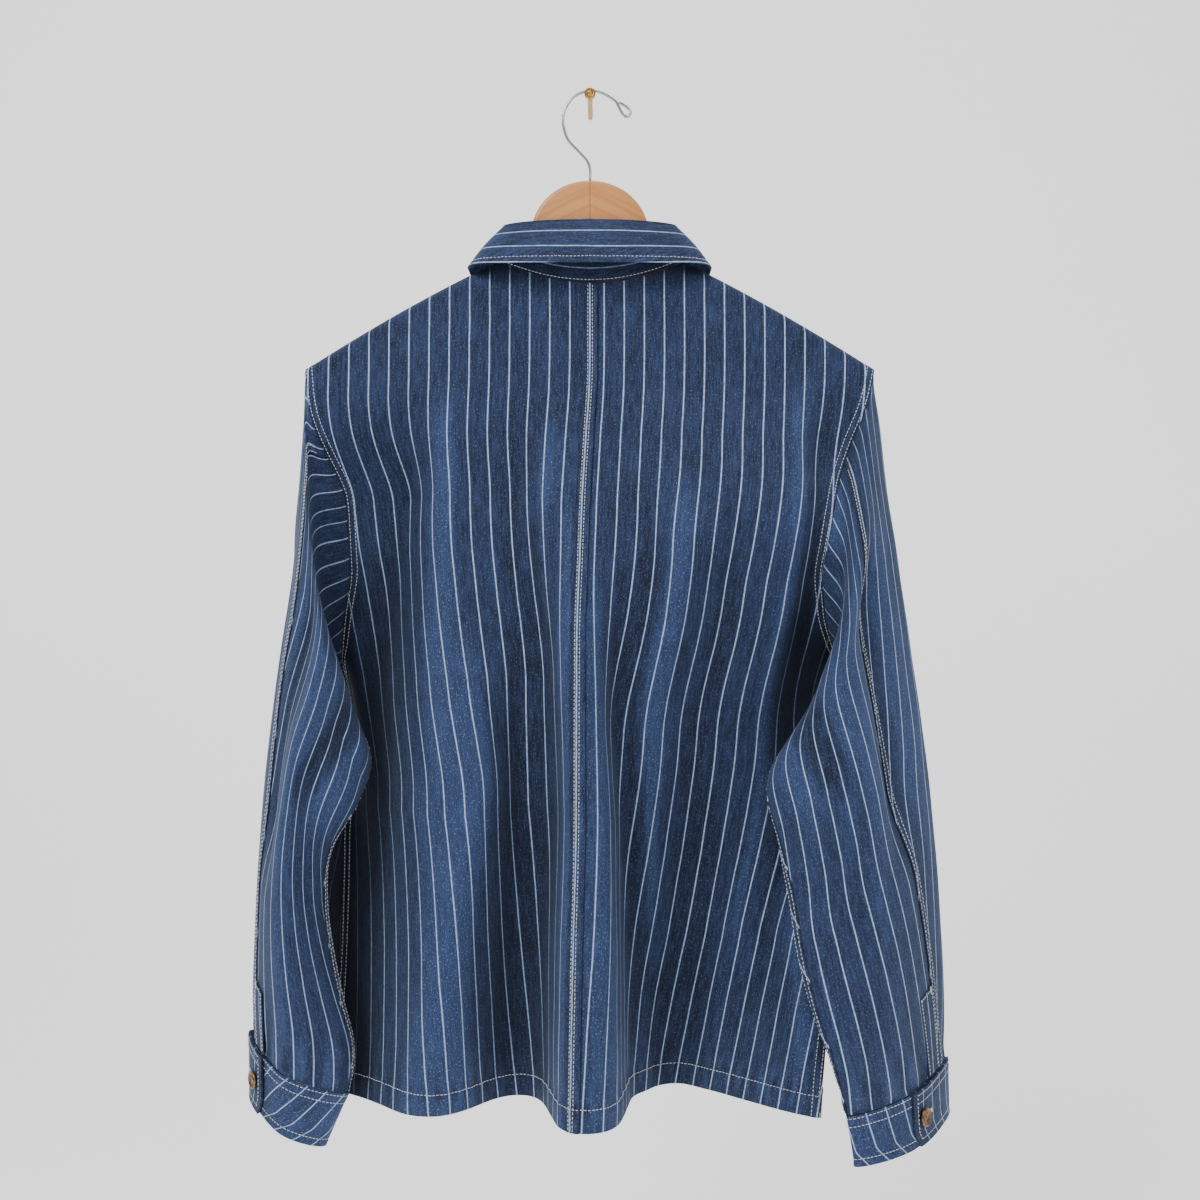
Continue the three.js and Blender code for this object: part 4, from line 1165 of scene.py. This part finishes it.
def thread(context):
    """Twisted cotton thread: ecru, slightly waxed, so a soft shine lies along each stitch."""
    colours = context.scene.jacket_colours

    def build(tree):
        place = add_node(tree, "ShaderNodeTexCoord", output=3)
        # The plies are 0.25 mm thick; drawn 1 mm
        ply = add_node(tree, "ShaderNodeTexNoise", {"Vector": place, "Scale": 1000.0, "Detail": 1.0})
        share = add_node(tree, "ShaderNodeMapRange", {0: ply, 1: 0.35, 2: 0.7})
        colour = add_node(tree, "ShaderNodeMix", {0: share, 6: linear("#a9adb6"),
                                                 7: colour_of(colours.thread)}, output=2, data_type="RGBA")
        return {"Base Color": colour}

    return new_material("ecru cotton thread", build, **{"Roughness": 0.62, "IOR": 1.5,
                                                       "Specular IOR Level": 0.3})


def wood(context):
    """Lotus wood under satin varnish: honey coloured, fine dark pores along each arm, and a soft
    gloss. The two arms' grain meets in a chevron at the middle."""
    colours = context.scene.jacket_colours

    def build(tree):
        place = add_node(tree, "ShaderNodeTexCoord", output=3)
        x = add_node(tree, "ShaderNodeSeparateXYZ", {0: place})
        y, z = x.node.outputs[1], x.node.outputs[2]
        arm = add_node(tree, "ShaderNodeMath", {0: x}, operation="ABSOLUTE")
        slope = math.radians(ARM_SLOPE)

        def turned(a, b):
            first = add_node(tree, "ShaderNodeMath", {0: arm, 1: a}, operation="MULTIPLY")
            return add_node(tree, "ShaderNodeMath", {0: z, 1: b, 2: first}, operation="MULTIPLY_ADD")

        over, length = turned(math.sin(slope), math.cos(slope)), turned(math.cos(slope), -math.sin(slope))
        grain = add_node(tree, "ShaderNodeCombineXYZ", {0: over, 1: length, 2: y})
        # Growth bands 5 mm apart and pores 0.8 mm wide and 20 mm long
        bands = add_node(tree, "ShaderNodeVectorMath", {0: grain, 1: (200, 9, 60)}, operation="MULTIPLY")
        bands = add_node(tree, "ShaderNodeTexNoise", {"Vector": bands, "Scale": 1.0, "Detail": 3.0,
                                                     "Distortion": 0.4})
        pores = add_node(tree, "ShaderNodeVectorMath", {0: grain, 1: (1250, 50, 500)}, operation="MULTIPLY")
        pores = add_node(tree, "ShaderNodeTexNoise", {"Vector": pores, "Scale": 1.0, "Detail": 2.0})
        light = add_node(tree, "ShaderNodeMapRange", {0: bands, 1: 0.3, 2: 0.72})
        colour = add_node(tree, "ShaderNodeMix", {0: light, 6: colour_of(colours.wood_dark),
                                                 7: colour_of(colours.wood_light)}, output=2, data_type="RGBA")
        dark = add_node(tree, "ShaderNodeMapRange", {0: pores, 1: 0.58, 2: 0.72, 4: 0.45})
        colour = add_node(tree, "ShaderNodeMix", {0: dark, 6: colour, 7: linear("#7d4f2c")},
                          output=2, data_type="RGBA")
        joint = add_node(tree, "ShaderNodeMapRange", {0: arm, 1: 0.0006, 2: 0.0002, 4: 0.7})
        colour = add_node(tree, "ShaderNodeMix", {0: joint, 6: colour, 7: linear("#6b4326")},
                          output=2, data_type="RGBA")
        bump = add_node(tree, "ShaderNodeBump", {"Strength": 0.3, "Distance": 0.0002, "Height": pores})
        return {"Base Color": colour, "Normal": bump}

    return new_material("varnished lotus wood", build, **{
        "Roughness": 0.42, "IOR": 1.5, "Coat Weight": 0.3, "Coat Roughness": 0.25,
    })


def worn_metal(name, bright, dull, roughness, patch_mm, depth):
    def build(tree):
        place = add_node(tree, "ShaderNodeTexCoord", output=3)
        patch = add_node(tree, "ShaderNodeTexNoise", {"Vector": place, "Scale": 1 / (patch_mm * MM),
                                                     "Detail": 4.0})
        share = add_node(tree, "ShaderNodeMapRange", {0: patch, 1: 0.35, 2: 0.7})
        colour = add_node(tree, "ShaderNodeMix", {0: share, 6: bright, 7: dull}, output=2, data_type="RGBA")
        rough = add_node(tree, "ShaderNodeMapRange", {0: share, 3: roughness, 4: roughness + 0.2})
        bump = add_node(tree, "ShaderNodeBump", {"Strength": 0.3, "Distance": depth, "Height": patch})
        return {"Base Color": colour, "Roughness": rough, "Normal": bump}

    return new_material(name, build, Metallic=1.0)


def steel(context):
    """Nickel-plated drawn steel wire: bright, with faint draw marks that spread the highlight."""
    return worn_metal("nickel-plated steel", colour_of(context.scene.jacket_colours.steel),
                      linear("#8d9094"), 0.22, 1.2, 0.00003)


def brass(context):
    """Turned brass nail head: warm yellow, duller where it is handled."""
    return worn_metal("turned brass", colour_of(context.scene.jacket_colours.brass),
                      linear("#8a6a34"), 0.28, 1.5, 0.00004)


def old_brass(context):
    """Antiqued stamped brass: dark brown in the hollows, rubbed to dull gold on the rims."""
    return worn_metal("antiqued brass", colour_of(context.scene.jacket_colours.old_brass),
                      linear("#4a3d30"), 0.38, 2.2, 0.00008)


# Round and drawn pieces


def turned_mesh(name, profile, centre, axis, sides=40):
    """Turned shape from (radius, height) points, closed at both ends."""
    axis = axis / np.linalg.norm(axis)
    level = np.cross(axis, (0, 0, 1.0))
    level = level / np.linalg.norm(level)
    upright = np.cross(level, axis)
    turns = np.linspace(0, math.tau, sides, endpoint=False)
    points, faces = [], []
    for radius, height in profile:
        for turn in turns:
            out = level * math.cos(turn) + upright * math.sin(turn)
            points.append((centre + axis * height + out * radius) * MM)
    for j in range(len(profile) - 1):
        for k in range(sides):
            ahead = (k + 1) % sides
            faces.append((j * sides + k, j * sides + ahead, (j + 1) * sides + ahead, (j + 1) * sides + k))
    faces.append(tuple(range(sides))[::-1])
    faces.append(tuple((len(profile) - 1) * sides + k for k in range(sides)))
    mesh = bpy.data.meshes.new(name)
    mesh.from_pydata(points, [], faces)
    mesh.shade_smooth()
    mesh.set_sharp_from_angle(angle=math.radians(50))
    return mesh


def tack_profile(r):
    """Dished tack button: shank, rim and the raised boss in its hollow, by part of its radius."""
    return [
        (0.5 * r, 0), (0.55 * r, 1.2), (0.93 * r, 1.35), (r, 1.8), (r, 2.5), (0.95 * r, 3.1),
        (0.88 * r, 3.4), (0.8 * r, 3.2), (0.74 * r, 2.6), (0.62 * r, 2.3), (0.5 * r, 2.35),
        (0.45 * r, 2.75), (0.4 * r, 2.35), (0.2 * r, 2.5), (0.03 * r, 2.6),
    ]


def add_button(context, name, radius, centre, axis):
    mesh = turned_mesh(name, tack_profile(radius), centre, axis)
    return add_object(name + "_tack", mesh, [name], "button_brass", old_brass(context))


def wire_mesh(name, line, radius, sides=14):
    """Round wire along a smooth line, with domed ends."""
    ends = np.concatenate([[2 * line[0] - line[1]], line, [2 * line[-1] - line[-2]]])
    t = np.linspace(0, len(line) - 1.0001, 9 * len(line))
    i, f = t.astype(int), (t - t.astype(int))[:, None]
    centres = curve_through(ends[i], ends[i + 1], ends[i + 2], ends[i + 3], f)
    forward = np.gradient(centres, axis=0)
    forward = forward / np.linalg.norm(forward, axis=1, keepdims=True)
    side = np.cross(forward, (0, 1.0, 0))
    side = side / np.linalg.norm(side, axis=1, keepdims=True)
    other = np.cross(side, forward)
    sizes = np.full(len(centres), radius)
    sizes[[0, -1]] *= 0.55
    turns = np.linspace(0, math.tau, sides, endpoint=False)[None, :, None]
    rings = centres[:, None] + (side[:, None] * np.cos(turns) + other[:, None] * np.sin(turns)) * (
        sizes[:, None, None])
    count = len(centres)
    k = np.arange(sides)
    ahead = (k + 1) % sides
    faces = [tuple(q) for j in range(count - 1)
             for q in zip(j * sides + k, j * sides + ahead, (j + 1) * sides + ahead, (j + 1) * sides + k)]
    faces += [tuple(k[::-1]), tuple(k + (count - 1) * sides)]
    mesh = bpy.data.meshes.new(name)
    mesh.from_pydata((rings.reshape(-1, 3) * MM).tolist(), [], faces)
    mesh.shade_smooth()
    return mesh


def hanger_mesh(name):
    """Hanger board: its outline swept through a rounded edge on both faces."""
    turn = np.linspace(math.pi / 2, 0, 25)
    dome = np.stack([DOME_HALF * np.cos(turn), DOME_Z + DOME_HEIGHT * np.sin(turn)], -1)
    knots = np.stack([HANGER_OUTLINE["x"], HANGER_OUTLINE["z"]], -1)
    arm = np.concatenate([[2 * knots[0] - knots[1]], knots, [2 * knots[-1] - knots[-2]]])
    t = np.linspace(0, len(knots) - 1.0001, 5 * len(knots))
    i, f = t.astype(int), (t - t.astype(int))[:, None]
    arm = curve_through(arm[i], arm[i + 1], arm[i + 2], arm[i + 3], f)
    right = np.concatenate([dome[:-1], dome[-1:], arm])
    left = right[1:][::-1] * (-1, 1)
    outline = np.concatenate([right, left])
    forward = np.roll(outline, -1, axis=0) - np.roll(outline, 1, axis=0)
    inwards = np.stack([forward[:, 1], -forward[:, 0]], -1)
    inwards = inwards / np.linalg.norm(inwards, axis=1, keepdims=True)
    if (inwards * (np.array((0, -150)) - outline)).sum() < 0:
        inwards = -inwards
    half = HANGER_THICK / 2
    rings = []
    steps = np.linspace(0, math.pi / 2, 6)
    for sign in (-1, 1):
        order = steps if sign < 0 else steps[::-1]
        for bevel in order:
            ring = outline + inwards * (HANGER_EDGE * (1 - math.sin(bevel)))
            depth = half - HANGER_EDGE * (1 - math.cos(bevel))
            rings.append(np.stack([ring[:, 0], np.full(len(ring), sign * depth), ring[:, 1]], -1))
    count = len(outline)
    k = np.arange(count)
    ahead = (k + 1) % count
    faces = [tuple(q) for j in range(len(rings) - 1)
             for q in zip(j * count + k, (j + 1) * count + k, (j + 1) * count + ahead, j * count + ahead)]
    faces += [tuple(k), tuple(k[::-1] + (len(rings) - 1) * count)]
    mesh = bpy.data.meshes.new(name)
    mesh.from_pydata((np.concatenate(rings) * MM).tolist(), [], faces)
    mesh.shade_smooth()
    mesh.set_sharp_from_angle(angle=math.radians(50))
    return mesh


# Sizes and colours a user may change


def length_property(name, description, default_mm):
    return bpy.props.FloatProperty(name=name, description=description, default=default_mm * MM,
                                   min=0.0, precision=5, subtype="DISTANCE", unit="LENGTH")


def colour_property(name, description, hex_colour):
    return bpy.props.FloatVectorProperty(name=name, description=description, subtype="COLOR", size=3,
                                         min=0.0, max=1.0, default=linear(hex_colour)[:3])


class JacketSizes(bpy.types.PropertyGroup):
    """Cloth, stripe and stitch sizes."""

    cloth: length_property("Cloth", "Thickness of the denim", 0.9)
    cuff_cloth: length_property("Cuff cloth", "Thickness of the doubled cuff", 1.8)
    stripe_spacing: length_property("Stripe spacing", "From one pinstripe to the next", 16.85)
    stripe_width: length_property("Stripe width", "Width of a pinstripe", 1.0)
    stitch_length: length_property("Stitch length", "Length of a stitch that shows", 2.3)
    stitch_pitch: length_property("Stitch pitch", "From one stitch to the next", 3.2)
    thread: length_property("Thread", "Thickness of the topstitching thread", 0.7)


class JacketColours(bpy.types.PropertyGroup):
    """Colours of the cloth, thread, wood and metals."""

    # The dark indigo is the yarn's darker tone and also the painted shade in the folds; the light one is its
    # paler tone and also the wear and painted light on the ridges
    indigo_dark: colour_property("Indigo, dark", "Warp yarn in the folds", "#0c1429")
    indigo_light: colour_property("Indigo, light", "Warp yarn on the crests", "#33456e")
    weft: colour_property("Weft", "Undyed weft yarn", "#93a3c6")
    stripe: colour_property("Stripe", "Pinstripe yarn", "#abc2e6")
    thread: colour_property("Thread", "Topstitching thread", "#dcdcd8")
    wood_light: colour_property("Wood, light", "Early wood", "#cd8f50")
    wood_dark: colour_property("Wood, dark", "Late wood", "#b3733b")
    steel: colour_property("Wire", "Plated hook wire", "#c4c6c8")
    brass: colour_property("Brass", "Nail head", "#c39a52")
    old_brass: colour_property("Old brass", "Tack buttons", "#94795a")


# Building steps


class JACKET_OT_back(bpy.types.Operator):
    """Back panels, with the felled seams and the stitches they carry"""

    bl_idname = "jacket.back"
    bl_label = "Back"

    def execute(self, context):
        sizes = context.scene.jacket_sizes
        for key, side in SIDES.items():
            name = "back_" + key
            grid, uv = dressed_back(key)
            add_cloth(context, name, grid, uv, TO_WALL)
            runs = []
            arm = slice(5, None)
            for distance in (ROW_NEAR, ROW_FAR):
                points, normals = line_on(grid, "end", distance, TO_WALL)
                runs.append(stitch_run(points[arm], normals[arm], sizes, 1))
            points, normals = line_on(grid, "bottom", HEM_ROW, TO_WALL)
            runs.append(stitch_run(points, normals, sizes, 2))
            if side < 0:
                lap = lap_edge(grid[:, 0, 2])
                for distance in (lap + CB_ROW_LEFT, lap - CB_ROW_RIGHT):
                    points, normals = line_on(grid, "start", distance, TO_WALL)
                    runs.append(stitch_run(points[1:], normals[1:], sizes, 3))
            sew(context, f"stitches_{name}", *runs)
        return {"FINISHED"}


class JACKET_OT_front(bpy.types.Operator):
    """Front panels, buttoned closed, with their patch pockets"""

    bl_idname = "jacket.front"
    bl_label = "Front"

    def execute(self, context):
        sizes = context.scene.jacket_sizes
        for key in SIDES:
            name = "front_" + key
            grid, uv = dressed_front(key)
            add_cloth(context, name, grid, uv, TO_ROOM)
            rows = [("start", 2.2), ("start", 28), ("bottom", HEM_ROW)]
            runs = [stitch_run(*line_on(grid, edge, d, TO_ROOM), sizes, 4) for edge, d in rows]
            sew(context, f"stitches_{name}", *runs)
        for name, (key, *_) in POCKETS.items():
            grid, uv = pocket_shape(name)
            add_cloth(context, name, grid, uv, TO_ROOM)
            rows = [("start", 2), ("start", 8), ("end", 2), ("end", 8), ("bottom", 2), ("bottom", 8),
                    ("top", 24)]
            runs = [stitch_run(*line_on(grid, edge, d, TO_ROOM), sizes, 5) for edge, d in rows]
            sew(context, f"stitches_{name}", *runs)
        return {"FINISHED"}


class JACKET_OT_sleeves(bpy.types.Operator):
    """Two-piece sleeves with their elbow and underarm seams"""

    bl_idname = "jacket.sleeves"
    bl_label = "Sleeves"

    def execute(self, context):
        sizes = context.scene.jacket_sizes
        for key in SIDES:
            hollow = ring_centre(SLEEVE_RINGS[key], 4)
            for part in ("top", "under"):
                name = f"sleeve_{part}_{key}"
                grid, uv = dressed_sleeve(key, part)
                add_cloth(context, name, grid, uv, hollow)
            grid, _ = dressed_sleeve(key, "top")
            rows = [("start", ROW_NEAR), ("start", ROW_FAR), ("end", ROW_NEAR), ("end", ROW_FAR)]
            lines = [line_on(grid, edge, d, hollow) for edge, d in rows]
            runs = [stitch_run(p[6:], n[6:], sizes, 6) for p, n in lines]
            sew(context, f"stitches_sleeve_{key}", *runs)
        return {"FINISHED"}


class JACKET_OT_cuffs(bpy.types.Operator):
    """Cuffs with their mitred tabs, buttonholes, plackets and bar tacks"""

    bl_idname = "jacket.cuffs"
    bl_label = "Cuffs"

    def execute(self, context):
        sizes = context.scene.jacket_sizes
        for key in SIDES:
            name = "cuff_" + key
            grid, uv, hollow = cuff_shape(key)
            wall = sizes.cuff_cloth / MM
            add_cloth(context, name, grid, uv, hollow, wall)
            rows = [("top", 2), ("top", 8.5), ("bottom", 6), ("end", 5), ("start", 3)]
            lines = [line_on(grid, edge, d, hollow) for edge, d in rows]
            runs = [stitch_run(p[1:-1], n[1:-1], sizes, 7) for p, n in lines]
            hole = line_on(grid, "end", BUTTONHOLE_IN, hollow)
            middle = CUFF_ROWS // 2
            level = hole[0][middle] - line_on(grid, "end", BUTTONHOLE_IN - 4, hollow)[0][middle]
            for shift in (-0.9, 0.9):
                centre = hole[0][middle] + (hole[0][0] - hole[0][-1]) / 45 * shift
                runs.append(bar_run(centre, level, hole[1][middle], BUTTONHOLE, 1.9, 0.6))
            sew(context, "stitches_" + name, *runs)
            name = "placket_" + key
            grid, uv, hollow = placket_shape(key)
            add_cloth(context, name, grid, uv, hollow)
            rows = [("start", 1.6), ("end", 1.6), ("top", 1.6)]
            runs = [stitch_run(*line_on(grid, edge, d, hollow), sizes, 8) for edge, d in rows]
            points, normals = line_on(grid, "start", 2.5, hollow)
            runs.append(bar_run(points[1], points[3] - points[0], normals[1], 6, 2.2, 0.7))
            sew(context, "stitches_" + name, *runs)
        return {"FINISHED"}


class JACKET_OT_collar(bpy.types.Operator):
    """Collar stand and the fall rolled over it"""

    bl_idname = "jacket.collar"
    bl_label = "Collar"

    def execute(self, context):
        sizes = context.scene.jacket_sizes
        stand, stand_uv, fall, fall_uv = collar_shapes()
        add_cloth(context, "collar_stand", stand, stand_uv, COLLAR_HOLLOW)
        add_cloth(context, "collar_fall", fall, fall_uv, COLLAR_HOLLOW)
        rows = [(fall, "bottom", COLLAR_ROW), (fall, "start", 6), (fall, "end", 6), (stand, "top", 2.2)]
        runs = [stitch_run(*line_on(grid, edge, d, COLLAR_HOLLOW), sizes, 9) for grid, edge, d in rows]
        sew(context, "stitches_collar", *runs)
        return {"FINISHED"}


class JACKET_OT_buttons(bpy.types.Operator):
    """Stamped tack buttons on the cuffs and down the front"""

    bl_idname = "jacket.buttons"
    bl_label = "Buttons"

    def execute(self, context):
        for key in SIDES:
            grid, _, hollow = cuff_shape(key)
            points, normals = line_on(grid, "end", BUTTON_IN, hollow)
            middle = CUFF_ROWS // 2
            add_button(context, "button_cuff_" + key, CUFF_BUTTON, points[middle], normals[middle])
        grid, _ = dressed_front("left")
        points, normals = line_on(grid, "start", FRONT_OVERLAP, TO_ROOM)
        for k, z in enumerate(FRONT_BUTTON_Z):
            j = int(np.argmin(np.abs(points[:, 2] - z)))
            add_button(context, f"button_front_{k + 1}", FRONT_BUTTON, points[j], normals[j])
        return {"FINISHED"}


class JACKET_OT_hanger(bpy.types.Operator):
    """Wooden hanger, its wire hook and the brass nail in the wall"""

    bl_idname = "jacket.hanger"
    bl_label = "Hanger, hook and nail"

    def execute(self, context):
        add_object("hanger", hanger_mesh("hanger"), ["hanger_wood"], "wood", wood(context))
        line = np.stack([HOOK_LINE["x"], HOOK_LINE["y"], HOOK_LINE["z"]], -1)
        hook = wire_mesh("hook", line, WIRE_RADIUS)
        add_object("hook", hook, ["hook_wire"], "wire", steel(context))
        nail = turned_mesh("nail", NAIL_PROFILE, np.zeros(3), np.array((0, 1.0, 0)), 48)
        add_object("nail", nail, ["wall_nail"], "nail_brass", brass(context))
        return {"FINISHED"}


class JACKET_OT_stage(bpy.types.Operator):
    """Pale sweep, soft lights and the camera"""

    bl_idname = "jacket.stage"
    bl_label = "Stage"

    def execute(self, context):
        def plain(tree):
            place = add_node(tree, "ShaderNodeTexCoord", output=3)
            grain = add_node(tree, "ShaderNodeTexNoise", {"Vector": place, "Scale": 3.0})
            return {"Base Color": add_node(tree, "ShaderNodeMix", {
                0: grain, 6: linear("#ececec"), 7: linear("#eeeeee")}, output=2, data_type="RGBA")}

        # Matt painted sweep: even and pale, with no shine
        glow = {"Emission Color": (1.0, 1.0, 1.0, 1.0), "Emission Strength": SWEEP_GLOW}
        paint = new_material("matt pale paint", plain, Roughness=0.95, **glow)
        turn = np.linspace(0, math.pi / 2, 16)
        floor = [(-SWEEP_FRONT, SWEEP_FLOOR)]
        curve = [(SWEEP_BACK - SWEEP_BEND * (1 - math.sin(a)), SWEEP_FLOOR + SWEEP_BEND * (1 - math.cos(a)))
                 for a in turn]
        profile = floor + curve + [(SWEEP_BACK, SWEEP_TOP)]
        points = [(x, y, z) for y, z in profile for x in (-SWEEP_HALF, SWEEP_HALF)]
        faces = [(2 * k, 2 * k + 1, 2 * k + 3, 2 * k + 2) for k in range(len(profile) - 1)]
        mesh = bpy.data.meshes.new("sweep")
        mesh.from_pydata(points, [], faces)
        mesh.shade_smooth()
        mesh.materials.append(paint)
        sweep = bpy.data.objects.new("sweep", mesh)
        context.scene.collection.objects.link(sweep)
        world = bpy.data.worlds.new("soft room")
        world.use_nodes = True
        world.node_tree.nodes["Background"].inputs["Color"].default_value = linear("#f2f4f8")
        world.node_tree.nodes["Background"].inputs["Strength"].default_value = ROOM_LIGHT
        context.scene.world = world
        for name, place, size, power in LAMPS:
            light = bpy.data.lights.new(name, "AREA")
            light.shape, light.size, light.energy = "DISK", size, power
            lamp = bpy.data.objects.new(name, light)
            lamp.location = place
            towards = Vector((0, 0, -0.45)) - lamp.location
            lamp.rotation_euler = towards.to_track_quat("-Z", "Y").to_euler()
            context.scene.collection.objects.link(lamp)
        camera = bpy.data.cameras.new("camera")
        camera.sensor_fit, camera.angle = "HORIZONTAL", CAMERA_ANGLE
        eye = bpy.data.objects.new("camera", camera)
        eye.location = CAMERA_PLACE
        eye.rotation_euler = (math.pi / 2, 0, 0)
        context.scene.collection.objects.link(eye)
        context.scene.camera = eye
        return {"FINISHED"}


STEPS = (
    JACKET_OT_back,
    JACKET_OT_front,
    JACKET_OT_sleeves,
    JACKET_OT_cuffs,
    JACKET_OT_collar,
    JACKET_OT_buttons,
    JACKET_OT_hanger,
    JACKET_OT_stage,
)


class JACKET_PT_panel(bpy.types.Panel):
    """Sizes, colours and building steps of the jacket"""

    bl_label = "Chore jacket"
    bl_idname = "JACKET_PT_panel"
    bl_space_type = "VIEW_3D"
    bl_region_type = "UI"
    bl_category = "Jacket"

    def draw(self, context):
        for group in (context.scene.jacket_sizes, context.scene.jacket_colours):
            for key in group.__annotations__:
                self.layout.prop(group, key)
        for step in STEPS:
            self.layout.operator(step.bl_idname)


CLASSES = (JacketSizes, JacketColours, *STEPS, JACKET_PT_panel)


def register():
    for each in CLASSES:
        bpy.utils.register_class(each)
    bpy.types.Scene.jacket_sizes = bpy.props.PointerProperty(type=JacketSizes)
    bpy.types.Scene.jacket_colours = bpy.props.PointerProperty(type=JacketColours)


def unregister():
    del bpy.types.Scene.jacket_colours
    del bpy.types.Scene.jacket_sizes
    for each in reversed(CLASSES):
        bpy.utils.unregister_class(each)


def main():
    register()
    bpy.ops.jacket.back()
    bpy.ops.jacket.front()
    bpy.ops.jacket.sleeves()
    bpy.ops.jacket.cuffs()
    bpy.ops.jacket.collar()
    bpy.ops.jacket.buttons()
    bpy.ops.jacket.hanger()
    bpy.ops.jacket.stage()


if __name__ == "__main__":
    main()
